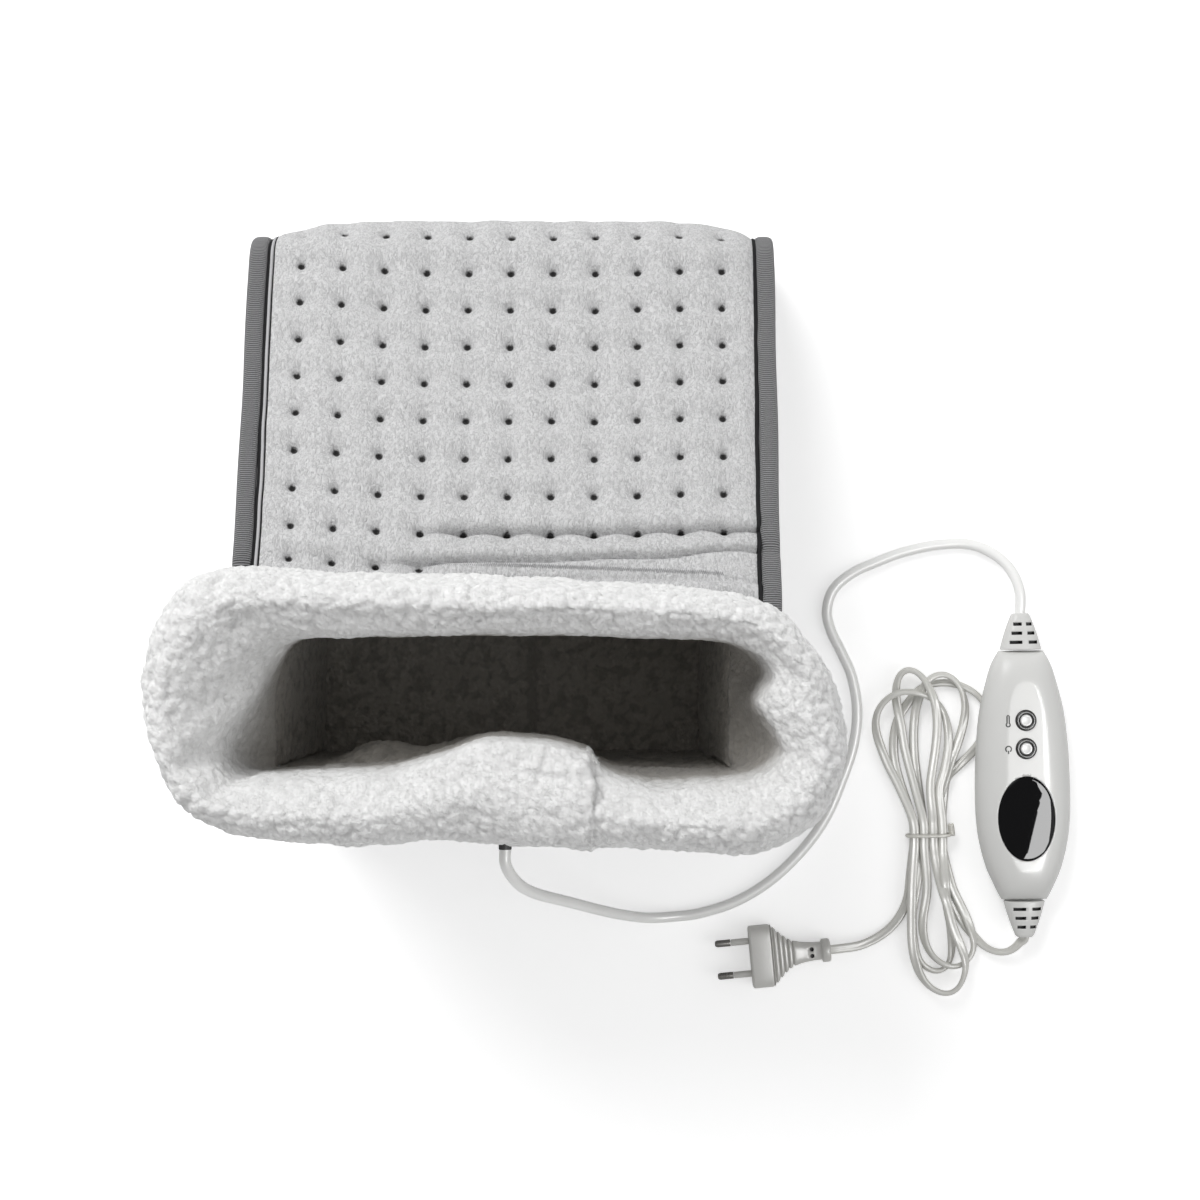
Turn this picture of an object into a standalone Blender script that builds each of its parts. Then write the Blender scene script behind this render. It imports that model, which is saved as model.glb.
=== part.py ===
# Electric foot warmer: a padded pouch for both feet with a heater under its insole, a lead to
# an in-line hand controller with two buttons and a display, and a flat mains cord that is tied
# in a hank and ends in a two-pin plug. Metres, +Z up. The origin is the middle of the sole on
# the floor, +Y points to the toes and +X to the side where the controller lies.

import math

import bmesh
import bpy
import numpy as np
from mathutils import Vector

for old in list(bpy.data.objects):
    bpy.data.objects.remove(old, do_unlink=True)

# Clearance between touching pieces, and how far a cutter runs past what it cuts
gap = 0.0003
overrun = 0.002

# Pouch body
body_width = 0.262
heel_reach = 0.150  # origin to the heel's back face
toe_reach = 0.1575  # origin to the front of the toe, at the seams
neck_height = 0.165  # floor to the rim that carries the cuff
toe_height = 0.0685  # floor to where the slope and the toe's front would meet
ledge_depth = 0.0167  # flat rim in front of the throat
ledge_radius = 0.030
toe_radius = 0.028
throat_depth = 0.069  # opening, heel to toe
heel_thickness = 0.008
side_thickness = 0.008
panel_thickness = 0.010
lead_space = 0.0044  # between the heel and its lining
outer_sole_thickness = 0.003
sole_pad_thickness = 0.007
sole_corner = 0.012

# Quilting of the top panel
tuft_pitch = 0.0226
tuft_depth = 0.004
tuft_columns = 11
tuft_rows = 9
first_tuft_row = 0.0471  # along the panel, from its edge at the throat
cells_per_tuft = 3
panel_crown = 0.005
seam_draw = 0.003  # how far the panel is drawn in at its side seams
crown_fade = 0.060

# Binding tape of the side seams
binding_width = 0.0127
binding_thickness = 0.007
binding_sink = 0.001
binding_round = 0.002

# Sherpa lining and insole
side_lining_thickness = 0.010
heel_lining_thickness = 0.010
top_lining_thickness = 0.010
insole_thickness = 0.013
insole_round = 0.002

# Heater
felt_thickness = 0.002
felt_margin = 0.006
wire_diameter = 0.0018
wire_pitch = 0.022
wire_margin = 0.020
wire_turn_points = 4
inner_lead_diameter = 0.003
cutout_width = 0.008
cutout_height = 0.016
cutout_thickness = 0.0036
cutout_rise = 0.070  # floor to the middle of the thermal cut-out

# Cuff: a thick folded collar round the throat
cuff_top = 0.250
cuff_width = 0.330
cuff_front = 0.0275  # origin back to the cuff's front
cuff_back = 0.1615  # origin back to the cuff's back
cuff_wall = 0.0335
cuff_mouth_width = 0.262
cuff_skirt = 0.002  # how far the back and sides stand out at the bottom
cuff_corner = 0.046
cuff_mouth_corner = 0.026
cuff_turn = math.radians(-1.6)
cuff_wave = 0.0022
cuff_waves = 7
cuff_bulge_share = 0.66  # height of the widest place, of the cuff's height
hem_diameter = 0.003
hem_stand = 0.001

# Lead out of the heel
lead_diameter = 0.006
lead_exit_x = 0.001
lead_exit_drop = 0.015  # below the neck
grommet_flange = 0.014
grommet_flange_thickness = 0.0015
grommet_neck = 0.0076
grommet_length = 0.0275
grommet_tip = 0.0066
grommet_bore_play = 0.0004

# Hand controller
case_x = 0.2895
case_y = -0.1426
case_turn = math.radians(0.8)
case_length = 0.1415
case_width = 0.0536
case_bottom_height = 0.012
case_top_height = 0.0127
case_wall = 0.002
case_width_shares = (0.47, 0.62, 0.72, 0.875, 0.965, 0.993, 1.0, 0.985, 0.93, 0.79, 0.62, 0.48)
case_place_shares = (1.0, 0.89, 0.77, 0.53, 0.24, 0.0, -0.2, -0.36, -0.53, -0.74, -0.89, -1.0)
case_cells_across = 10
case_cells_along = 16
case_top_shares = (2.6, 8.0, 0.42)  # how square its section, its ends and its crown are
case_bottom_shares = (4.0, 10.0, 0.36)
case_flat_share = 1.05  # above 1, so that the middle is flat
relief_length = 0.021
relief_root_width = 0.0236
relief_root_height = 0.0150
relief_tip_width = 0.0097
relief_tip_height = 0.0084
relief_slot_rows = 3
relief_slot_width = 0.0016
relief_slot_pitch = 0.0056
relief_slot_middle_share = 0.50  # of the half width there
relief_slot_length_share = 0.60
button_pitch = 0.0159
button_middle = 0.0238  # middle of the case to the middle between the buttons
button_diameter = 0.0076
button_proud = 0.0012
button_travel = 0.0010
button_play = 0.0003
button_foot_diameter = 0.0094
button_foot_thickness = 0.0010
button_dome = 0.0005
ring_diameter = 0.012
ring_sleeve = 0.0100
ring_height = 0.0008
ring_depth = 0.0030
display_width = 0.032
display_length = 0.0475
display_middle = 0.0238
display_module_share = 0.80
board_thickness = 0.0016
board_width = 0.032
board_length = 0.092
switch_width = 0.006
switch_height = 0.0040
plunger_diameter = 0.003
pillar_diameter = 0.0080
pillar_spread_x = 0.024
pillar_spread_y = 0.070
screw_head = 0.0052
screw_head_height = 0.0018
screw_recess = 0.0030
screw_shank = 0.0026
screw_length = 0.0070

# Flat mains cord, as a round one of the same section, and its hank
cord_diameter = 0.0042
strand_gap = 0.0006
hank_x = 0.2369
hank_y = -0.1774
hank_turns = 3.5
hank_points_per_turn = 32
hank_end_share = 0.045  # of a turn, past the waist at each end
hank_end_flare = 0.0032
waist_half = 0.0113
waist_step = 0.0054
top_lobe_length = 0.0935
bottom_lobe_length = 0.0895
top_lobe_half = 0.0274
bottom_lobe_half = 0.0238
top_lobe_lean = -0.0040
bottom_lobe_lean = 0.0055
top_width_step = 0.0058
bottom_width_step = 0.0045
lobe_length_step = 0.0050
waist_lift = 0.0024
lift_flat = 0.008
lift_reach = 0.024
upper_level_shares = (0.5, -0.4)  # of a step, how far the upper top and bottom lobes lie inwards
climb_shares = (0.24, 0.70)  # of the innermost bottom lobe, where it climbs a layer
tie_diameter = 0.0018
tie_end = 0.008
tie_play = 0.0005

# Two-pin plug
plug_x = 0.1350
plug_y = -0.2473
plug_turn = math.radians(5.4)
plug_width = 0.0353
plug_height = 0.0137
plug_block_length = 0.0125
plug_ribs = 5
plug_ribs_length = 0.0134
plug_ribs_width = 0.0290
plug_ribs_end_width = 0.0160
plug_rib_depth = 0.0015
plug_taper_length = 0.0086
plug_neck = 0.009
plug_neck_length = 0.0065
plug_collar = 0.0134
plug_collar_length = 0.0048
plug_edge = 0.0010
pin_spacing = 0.0186
pin_diameter = 0.004
pin_sleeve_diameter = 0.0038
pin_length = 0.019
pin_sleeve_length = 0.010

# Routes of the free cords on the floor: middle points only, the ends follow from their seats
lead_route = (
    (0.0030, -0.1815, 0.1465), (0.0070, -0.1880, 0.1380), (0.0120, -0.1935, 0.1240),
    (0.0185, -0.1985, 0.1060), (0.0265, -0.2035, 0.0850), (0.0360, -0.2090, 0.0630),
    (0.0470, -0.2150, 0.0410), (0.0600, -0.2205, 0.0225), (0.0760, -0.2245, 0.0085),
    (0.0920, -0.2245, 0.0034), (0.1070, -0.2225, 0.0030), (0.1280, -0.2155, 0.0030),
    (0.1480, -0.2030, 0.0030), (0.1660, -0.1855, 0.0030), (0.1790, -0.1670, 0.0030),
    (0.1880, -0.1460, 0.0030), (0.1945, -0.1260, 0.0030), (0.1965, -0.1060, 0.0030),
    (0.1935, -0.0870, 0.0030), (0.1880, -0.0740, 0.0030), (0.1815, -0.0605, 0.0030),
    (0.1792, -0.0490, 0.0030), (0.1830, -0.0370, 0.0030), (0.1936, -0.0277, 0.0030),
    (0.2070, -0.0215, 0.0030), (0.2230, -0.0155, 0.0030), (0.2420, -0.0115, 0.0030),
    (0.2600, -0.0110, 0.0036), (0.2740, -0.0165, 0.0060), (0.2835, -0.0260, 0.0095),
)
controller_tail_route = (
    (0.2868, -0.2515, 0.0062), (0.2800, -0.2540, 0.0030), (0.2735, -0.2495, 0.0021),
    (0.2695, -0.2400, 0.0021), (0.2660, -0.2290, 0.0021), (0.2620, -0.2190, 0.0021),
)
plug_tail_route = (
    (0.2135, -0.2180, 0.0046), (0.2090, -0.2265, 0.0025), (0.2025, -0.2345, 0.0024),
    (0.1945, -0.2395, 0.0045),
)

# Places that follow from the sizes
sole_top = outer_sole_thickness + gap + sole_pad_thickness
wall_foot = sole_top + gap
half_body = body_width / 2
half_panel = half_body - gap
side_inner = half_body - side_thickness
lining_outer = side_inner - gap
lining_inner = lining_outer - side_lining_thickness
heel_inner_y = -heel_reach + heel_thickness
heel_lining_back = heel_inner_y + lead_space
heel_lining_front = heel_lining_back + heel_lining_thickness
throat_front = heel_lining_front + throat_depth
felt_bottom = wall_foot
wire_height = felt_bottom + felt_thickness + gap + wire_diameter / 2
insole_bottom = wire_height + wire_diameter / 2 + gap
insole_top = insole_bottom + insole_thickness
cuff_bottom = neck_height + gap
lead_exit_height = neck_height - lead_exit_drop
under_panel = panel_thickness + gap

parts = bpy.data.collections.new("electric_foot_warmer")
cutters = bpy.data.collections.new("cutters")
bpy.context.scene.collection.children.link(parts)
bpy.context.scene.collection.children.link(cutters)


def material(name, color, roughness, metallic=0.0):
    made = bpy.data.materials.new(name)
    made.use_nodes = True
    shader = made.node_tree.nodes["Principled BSDF"]
    shader.inputs["Base Color"].default_value = (*color, 1.0)
    shader.inputs["Roughness"].default_value = roughness
    shader.inputs["Metallic"].default_value = metallic
    return made


def add(name, data, look, place=(0, 0, 0), turn=(0, 0, 0), parent=None):
    obj = bpy.data.objects.new(name, data)
    obj.location = place
    obj.rotation_euler = turn
    obj.parent = parent
    parts.objects.link(obj)
    if look is not None:
        data.materials.append(look)
    return obj


def as_cutter(obj):
    parts.objects.unlink(obj)
    cutters.objects.link(obj)
    obj.hide_render = True
    obj.display_type = "WIRE"
    return obj


def boolean(obj, tool, operation="DIFFERENCE"):
    modifier = obj.modifiers.new(tool.name, "BOOLEAN")
    modifier.operation = operation
    modifier.object = tool
    modifier.solver = "EXACT"
    return modifier


def smooth(mesh):
    mesh.shade_smooth()
    mesh.set_sharp_from_angle(angle=math.radians(35))


def finish_mesh(name, bm):
    bmesh.ops.recalc_face_normals(bm, faces=bm.faces)
    mesh = bpy.data.meshes.new(name)
    bm.to_mesh(mesh)
    bm.free()
    smooth(mesh)
    return mesh


def cylinder(name, radius, height, sides=24, top_radius=None):
    """A cylinder or a cone that stands on its local origin."""
    bm = bmesh.new()
    bmesh.ops.create_cone(bm, cap_ends=True, segments=sides, radius1=radius,
                          radius2=radius if top_radius is None else top_radius, depth=height)
    bmesh.ops.translate(bm, verts=bm.verts, vec=(0, 0, height / 2))
    return finish_mesh(name, bm)


def box(name, size):
    """A box that stands on its local origin."""
    bm = bmesh.new()
    bmesh.ops.create_cube(bm, size=1)
    bmesh.ops.scale(bm, verts=bm.verts, vec=size)
    bmesh.ops.translate(bm, verts=bm.verts, vec=(0, 0, size[2] / 2))
    return finish_mesh(name, bm)


def turned(name, profile, look, place, parent=None, steps=24, closed=False):
    """A profile of (radius, height) turned round Z, from its top down the outer side."""
    mesh = bpy.data.meshes.new(name)
    edges = [(k, k + 1) for k in range(len(profile) - 1)]
    if closed:
        edges.append((len(profile) - 1, 0))
    mesh.from_pydata([(r, 0, z) for r, z in profile], edges, [])
    obj = add(name, mesh, look, place, parent=parent)
    screw = obj.modifiers.new("Turn", "SCREW")
    screw.steps = screw.render_steps = steps
    screw.use_merge_vertices = True
    screw.merge_threshold = 0.00005
    return obj


def flat(name, outline, thickness, look, place, turn=(0, 0, 0), rounding=0.0, parent=None):
    """A flat outline with its thickness, and its edges rounded within that size."""
    curve = bpy.data.curves.new(name, "CURVE")
    curve.dimensions = "2D"
    curve.fill_mode = "BOTH"
    curve.extrude = thickness / 2 - rounding
    curve.bevel_depth = rounding
    curve.bevel_resolution = 1
    curve.offset = -rounding
    spline = curve.splines.new("POLY")
    spline.points.add(len(outline) - 1)
    for point, (u, v) in zip(spline.points, outline):
        point.co = (u, v, 0, 1)
    spline.use_cyclic_u = True
    return add(name, curve, look, place, turn, parent)


def to_mesh(obj):
    """The same piece as a mesh with its caps welded, so that it can be cut or joined."""
    bpy.context.view_layer.update()
    graph = bpy.context.evaluated_depsgraph_get()
    mesh = bpy.data.meshes.new_from_object(obj.evaluated_get(graph))
    bm = bmesh.new()
    bm.from_mesh(mesh)
    bmesh.ops.remove_doubles(bm, verts=bm.verts, dist=0.00001)
    bmesh.ops.recalc_face_normals(bm, faces=bm.faces)
    bm.to_mesh(mesh)
    bm.free()
    name, matrix, parent = obj.name, obj.matrix_world.copy(), obj.parent
    bpy.data.objects.remove(obj, do_unlink=True)
    made = bpy.data.objects.new(name, mesh)
    parts.objects.link(made)
    made.matrix_world = matrix
    return made


def tube(name, points, diameter, look, resolution=2):
    curve = bpy.data.curves.new(name, "CURVE")
    curve.dimensions = "3D"
    curve.bevel_depth = diameter / 2
    curve.bevel_resolution = resolution
    curve.use_fill_caps = True
    spline = curve.splines.new("POLY")
    spline.points.add(len(points) - 1)
    for point, co in zip(spline.points, points):
        point.co = (*co, 1)
    return add(name, curve, look)


def loft(name, rings, closed=False):
    """Rings with as many points each, joined in order and capped, or closed on themselves."""
    around, along = len(rings[0]), len(rings)
    bm = bmesh.new()
    rows = along if closed else along - 1
    bmesh.ops.create_grid(bm, x_segments=around, y_segments=rows, size=1)
    for vert in bm.verts:
        i = round((vert.co.x + 1) / 2 * around) % around
        j = round((vert.co.y + 1) / 2 * rows) % along
        vert.co = rings[j][i]
    bmesh.ops.remove_doubles(bm, verts=bm.verts, dist=0.000001)
    if not closed:
        rim = [edge for edge in bm.edges if edge.is_boundary]
        bmesh.ops.holes_fill(bm, edges=rim, sides=0)
    return finish_mesh(name, bm)


def smooth_route(points, spacing):
    """Points at an even spacing on a smooth curve through a route's own points, but for its
    two ends, which run straight."""
    knots = [Vector(p) for p in points]
    fine = []
    for a, b, c, d in zip(knots, knots[1:], knots[2:], knots[3:]):
        for k in range(16):
            t = k / 16
            fine.append(((-a + 3 * b - 3 * c + d) * t ** 3 + (2 * a - 5 * b + 4 * c - d) * t ** 2
                         + (c - a) * t + 2 * b) / 2)
    fine.append(knots[-2])
    return [tuple(points[0]), *evenly(fine, spacing), tuple(points[-1])]


def evenly(fine, spacing):
    fine = np.array([tuple(p) for p in fine])
    run = np.concatenate([[0], np.cumsum(np.linalg.norm(np.diff(fine, axis=0), axis=1))])
    count = max(2, round(run[-1] / spacing) + 1)
    marks = np.linspace(0, run[-1], count)
    return [tuple(np.interp(m, run, fine[:, k]) for k in range(3)) for m in marks]


def length_of(points):
    return float(np.linalg.norm(np.diff(np.array(points), axis=0), axis=1).sum())


def smoothstep(t):
    t = min(1.0, max(0.0, t))
    return t * t * (3 - 2 * t)


def rounded_rectangle(left, right, back, front, radius, corner_points=4, long_points=0,
                      short_points=0):
    """Points round a rectangle with round corners, counter-clockwise from its right side."""
    corners = ((right - radius, front - radius, 0), (left + radius, front - radius, 1),
               (left + radius, back + radius, 2), (right - radius, back + radius, 3))
    points = []
    for x, y, quarter in corners:
        for k in range(corner_points + 1):
            angle = math.radians(90) * (quarter + k / corner_points)
            points.append((x + radius * math.cos(angle), y + radius * math.sin(angle)))
        following = corners[(quarter + 1) % 4]
        angle = math.radians(90) * (quarter + 1)
        end = (following[0] + radius * math.cos(angle), following[1] + radius * math.sin(angle))
        extra = long_points if quarter % 2 == 0 else short_points
        for k in range(1, extra + 1):
            share = k / (extra + 1)
            start = points[-1] if k == 1 else start
            points.append((start[0] + (end[0] - start[0]) * share,
                           start[1] + (end[1] - start[1]) * share))
    return points


# Side profile of the top panel's outer face, from the throat's edge down to the sole
def fillet_path(corners, radii):
    """Straight runs and convex arcs through rounded corners, each with its length."""
    corners = [np.array(c) for c in corners]
    pieces, start = [], corners[0]
    for before, corner, after, radius in zip(corners, corners[1:], corners[2:], radii):
        a = (corner - before) / np.linalg.norm(corner - before)
        b = (after - corner) / np.linalg.norm(after - corner)
        turn = math.acos(float(a @ b))
        reach = radius * math.tan(turn / 2)
        normal = np.array([-a[1], a[0]])
        end = corner - a * reach
        pieces.append(("run", float(np.linalg.norm(end - start)), start, a, normal))
        pieces.append(("arc", radius * turn, end - normal * radius, radius, normal))
        start = corner + b * reach
    last = (corners[-1] - start) / np.linalg.norm(corners[-1] - start)
    pieces.append(("run", float(np.linalg.norm(corners[-1] - start)), start, last,
                   np.array([-last[1], last[0]])))
    return pieces


profile = fillet_path(((throat_front, neck_height), (throat_front + ledge_depth, neck_height),
                       (toe_reach, toe_height), (toe_reach, wall_foot)),
                      (ledge_radius, toe_radius))
profile_length = sum(piece[1] for piece in profile)


def profile_at(distance, rise=0.0):
    """(y, z) at a distance along the profile, moved outwards by rise."""
    for number, (kind, length, *rest) in enumerate(profile):
        if distance <= length or number == len(profile) - 1:
            break
        distance -= length
    if kind == "run":
        start, direction, normal = rest
        point = start + direction * distance
    else:
        centre, radius, first = rest
        angle = -distance / radius
        normal = np.array([first[0] * math.cos(angle) - first[1] * math.sin(angle),
                           first[0] * math.sin(angle) + first[1] * math.cos(angle)])
        point = centre + normal * radius
    point = point + normal * rise
    return float(point[0]), float(point[1])


# Where the panel is divided along the profile: over the ledge, at its tufts and over the toe
toe_row_shares = (0.16, 0.38, 1.0)
ledge_run, ledge_arc = profile[0][1], profile[1][1]
rows = [0.0, ledge_run, ledge_run + ledge_arc / 2, ledge_run + ledge_arc]
rows += [first_tuft_row + k / cells_per_tuft * tuft_pitch
         for k in range((tuft_rows - 1) * cells_per_tuft + 1)]
rows += [rows[-1] + (profile_length - rows[-1]) * share for share in toe_row_shares]
first_row_index = rows.index(first_tuft_row)


def profile_marks(end=profile_length):
    """The panel's divisions up to an end, for what lies along it, one in each tuft's pitch."""
    kept = [row for k, row in enumerate(rows)
            if k < first_row_index or row > rows[-4] - gap
            or (k - first_row_index) % cells_per_tuft == 0]
    return [row for row in kept if row < end - gap] + [end]


def case_half_width(share):
    """Half the width of the case at a share of its half length, on a smooth curve."""
    places = case_place_shares[::-1]
    widths = case_width_shares[::-1]
    n = len(places)
    k = max(0, min(n - 2, int(np.searchsorted(places, share)) - 1))
    slopes = [(widths[min(j + 1, n - 1)] - widths[max(j - 1, 0)])
              / (places[min(j + 1, n - 1)] - places[max(j - 1, 0)]) for j in (k, k + 1)]
    step = places[k + 1] - places[k]
    t = (share - places[k]) / step
    value = ((2 * t ** 3 - 3 * t ** 2 + 1) * widths[k] + (t ** 3 - 2 * t ** 2 + t) * step * slopes[0]
             + (3 * t ** 2 - 2 * t ** 3) * widths[k + 1] + (t ** 3 - t ** 2) * step * slopes[1])
    return case_width / 2 * value


velour = material("grey_velour", (0.60, 0.60, 0.61), 0.95)
velour_side = material("grey_velour_side", (0.55, 0.55, 0.56), 0.95)
tape = material("dark_grey_tape", (0.19, 0.19, 0.20), 0.85)
sherpa = material("white_sherpa", (0.86, 0.86, 0.85), 1.0)
sherpa_inner = material("inner_sherpa", (0.72, 0.71, 0.69), 1.0)
sole_fabric = material("sole_fabric", (0.16, 0.16, 0.17), 0.9)
foam = material("foam", (0.80, 0.78, 0.70), 0.95)
felt = material("heater_felt", (0.70, 0.67, 0.60), 0.95)
wire_look = material("heating_wire", (0.65, 0.10, 0.08), 0.5)
lead_look = material("lead_jacket", (0.68, 0.68, 0.68), 0.45)
sleeve_look = material("dark_sleeve", (0.06, 0.06, 0.065), 0.6)
case_look = material("case_plastic", (0.70, 0.70, 0.69), 0.25)
ring_look = material("ring_plastic", (0.16, 0.16, 0.17), 0.4)
button_look = material("button_plastic", (0.74, 0.74, 0.73), 0.3)
lens_look = material("display_lens", (0.006, 0.006, 0.007), 0.06)
module_look = material("display_module", (0.10, 0.12, 0.10), 0.4)
board_look = material("circuit_board", (0.02, 0.16, 0.06), 0.5)
switch_look = material("switch_plastic", (0.03, 0.03, 0.03), 0.5)
cord_look = material("cord_jacket", (0.52, 0.52, 0.48), 0.45)
plug_look = material("plug_plastic", (0.46, 0.46, 0.43), 0.5)
pin_look = material("pin_metal", (0.60, 0.60, 0.60), 0.25, 1.0)
steel_look = material("screw_steel", (0.55, 0.55, 0.56), 0.35, 1.0)
tie_look = material("tie_wire", (0.62, 0.62, 0.58), 0.5)

on_side = (math.radians(90), 0, math.radians(90))  # outline in YZ, thickness along X
on_end = (math.radians(90), 0, 0)  # outline in XZ, thickness along Y

# Sole
sole_outline = rounded_rectangle(-half_body, half_body, -heel_reach, toe_reach, sole_corner)
flat("outer_sole", sole_outline, outer_sole_thickness, sole_fabric,
     (0, 0, outer_sole_thickness / 2))
flat("sole_pad", sole_outline, sole_pad_thickness, foam,
     (0, 0, sole_top - sole_pad_thickness / 2))

# Top panel: a quilted pad bent over the toe, with a tuft at every third line of its grid
columns = [(k / cells_per_tuft - (tuft_columns - 1) / 2) * tuft_pitch
           for k in range((tuft_columns - 1) * cells_per_tuft + 1)]
seam_line = (half_panel + columns[-1]) / 2
columns = [-half_panel, -seam_line, *columns, seam_line, half_panel]


def panel_rise(x, distance):
    """How far the quilted face stands out from the side profile."""
    share = abs(x) / half_panel
    fade = smoothstep(distance / crown_fade) * smoothstep((profile_length - distance) / crown_fade)
    return (panel_crown + seam_draw) * fade * (1 - share ** 4) - seam_draw


is_tuft_column = {2 + k * cells_per_tuft for k in range(tuft_columns)}
is_tuft_row = {first_row_index + k * cells_per_tuft for k in range(tuft_rows)}
bm = bmesh.new()
across, along = len(columns) - 1, len(rows) - 1
bmesh.ops.create_grid(bm, x_segments=across, y_segments=along, size=1)
edge_points = {}
for vert in bm.verts:
    i = round((vert.co.x + 1) / 2 * across)
    j = round((vert.co.y + 1) / 2 * along)
    rise = panel_rise(columns[i], rows[j])
    if i in is_tuft_column and j in is_tuft_row:
        rise -= tuft_depth
    vert.co = (columns[i], *profile_at(rows[j], rise))
    if i in (0, across) or j in (0, along):
        edge_points[vert.index] = (i, j)
rim = [edge for edge in bm.edges if edge.is_boundary]
walls = bmesh.ops.extrude_edge_only(bm, edges=rim)
lower = [item for item in walls["geom"] if isinstance(item, bmesh.types.BMVert)]
below = {}
for vert in lower:
    i = min(range(across + 1), key=lambda k: abs(columns[k] - vert.co.x))
    j = min(range(along + 1), key=lambda k: math.dist(
        profile_at(rows[k], panel_rise(columns[i], rows[k])), vert.co[1:]))
    vert.co = (columns[i], *profile_at(rows[j], -panel_thickness))
    below[i, j] = vert
for j in range(1, along - 1):
    bm.faces.new((below[0, j], below[0, j + 1], below[across, j + 1], below[across, j]))
bm.faces.new([below[i, 0] for i in range(across, -1, -1)] + [below[0, 1], below[across, 1]])
bm.faces.new([below[i, along] for i in range(across + 1)]
             + [below[across, along - 1], below[0, along - 1]])
add("top_panel", finish_mesh("top_panel", bm), velour)

# Side panels under the top panel's edges, up to the cuff beside the throat
side_outline = [(heel_inner_y + gap, wall_foot), (heel_inner_y + gap, neck_height),
                (throat_front - gap, neck_height),
                *(profile_at(mark, -under_panel) for mark in profile_marks())]
side_outline[3] = (throat_front - gap, side_outline[3][1])
for name, side in (("left_side_panel", -1), ("right_side_panel", 1)):
    flat(name, side_outline, side_thickness, velour_side,
         (side * (half_body - side_thickness / 2), 0, 0), on_side)

# Heel, with a bore for the lead's grommet
heel = to_mesh(flat("heel_panel", [(-half_body, wall_foot), (half_body, wall_foot),
                                   (half_body, neck_height), (-half_body, neck_height)],
                    heel_thickness, velour_side,
                    (0, -heel_reach + heel_thickness / 2, 0), on_end))
heel_bore = as_cutter(add("heel_bore", cylinder(
    "heel_bore", grommet_neck / 2 + grommet_bore_play, heel_thickness + 2 * overrun), None,
    (lead_exit_x, heel_inner_y + overrun, lead_exit_height), on_end))
boolean(heel, heel_bore)

# Binding tape along both side seams
binding_outline = ([profile_at(mark, -binding_sink) for mark in profile_marks()]
                   + [profile_at(mark, -binding_sink - binding_thickness)
                      for mark in reversed(profile_marks())])
for name, side in (("left_binding", -1), ("right_binding", 1)):
    flat(name, binding_outline, binding_width, tape,
         (side * (half_body + gap + binding_width / 2), 0, 0), on_side, binding_round)

# Lining: insole, sides, heel and the underside of the top panel
toe_inner = toe_reach - under_panel
flat("lining_insole", rounded_rectangle(-lining_outer, lining_outer, heel_lining_back,
                                        toe_inner - gap, sole_corner),
     insole_thickness, sherpa_inner, (0, 0, insole_bottom + insole_thickness / 2),
     rounding=insole_round)
lining_foot = insole_top + gap
flat("lining_heel", [(-lining_outer, lining_foot), (lining_outer, lining_foot),
                     (lining_outer, neck_height), (-lining_outer, neck_height)],
     heel_lining_thickness, sherpa_inner,
     (0, heel_lining_back + heel_lining_thickness / 2, 0), on_end)
lining_end = profile_length - (lining_foot - wall_foot)
lining_side_outline = [(heel_lining_front + gap, lining_foot),
                       (heel_lining_front + gap, neck_height),
                       (throat_front - gap, neck_height),
                       *(profile_at(mark, -under_panel) for mark in profile_marks(lining_end))]
lining_side_outline[3] = (throat_front - gap, lining_side_outline[3][1])
for name, side in (("lining_left", -1), ("lining_right", 1)):
    flat(name, lining_side_outline, side_lining_thickness, sherpa_inner,
         (side * (lining_outer - side_lining_thickness / 2), 0, 0), on_side)
top_lining_outline = ([profile_at(mark, -under_panel) for mark in profile_marks(lining_end)]
                      + [profile_at(mark, -under_panel - top_lining_thickness)
                         for mark in reversed(profile_marks(lining_end))])
flat("lining_top", top_lining_outline, 2 * (lining_inner - gap), sherpa_inner, (0, 0, 0), on_side)

# Heater: felt, a wire laid to and fro on it, and what feeds it inside the heel
felt_half = lining_outer - felt_margin
felt_back = heel_inner_y + gap
felt_front = toe_inner - felt_margin
flat("heater_felt", rounded_rectangle(-felt_half, felt_half, felt_back, felt_front, sole_corner),
     felt_thickness, felt, (0, 0, felt_bottom + felt_thickness / 2))
feed_y = heel_inner_y + lead_space / 2
run_half = felt_half - wire_margin
run_back = heel_lining_back + wire_margin
runs = int((felt_front - wire_margin - run_back) / wire_pitch)
wire_points = [(lead_exit_x, feed_y + inner_lead_diameter / 2 + gap, wire_height),
               (lead_exit_x, run_back, wire_height)]
for k in range(runs):
    side = 1 if k % 2 == 0 else -1
    y = run_back + k * wire_pitch
    wire_points.append((side * run_half, y, wire_height))
    if k < runs - 1:
        for m in range(1, wire_turn_points):
            angle = math.radians(180) * m / wire_turn_points
            wire_points.append((side * (run_half + wire_pitch / 2 * math.sin(angle)),
                                y + wire_pitch / 2 * (1 - math.cos(angle)), wire_height))
        wire_points.append((side * run_half, y + wire_pitch, wire_height))
tube("heating_wire", wire_points, wire_diameter, wire_look, resolution=1)
cutout_bottom = cutout_rise - cutout_height / 2
cutout_top = cutout_rise + cutout_height / 2
flat("thermal_cutout", rounded_rectangle(
    -cutout_width / 2, cutout_width / 2, -cutout_height / 2, cutout_height / 2,
    cutout_width / 4), cutout_thickness, ring_look,
    (lead_exit_x, feed_y, cutout_rise), on_end)
tube("inner_lead_upper", [(lead_exit_x, feed_y, lead_exit_height - grommet_flange / 2 - gap),
                          (lead_exit_x, feed_y, cutout_top + gap)],
     inner_lead_diameter, lead_look)
tube("inner_lead_lower", [(lead_exit_x, feed_y, cutout_bottom - gap),
                          (lead_exit_x, feed_y, felt_bottom + felt_thickness + gap)],
     inner_lead_diameter, lead_look)

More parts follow.
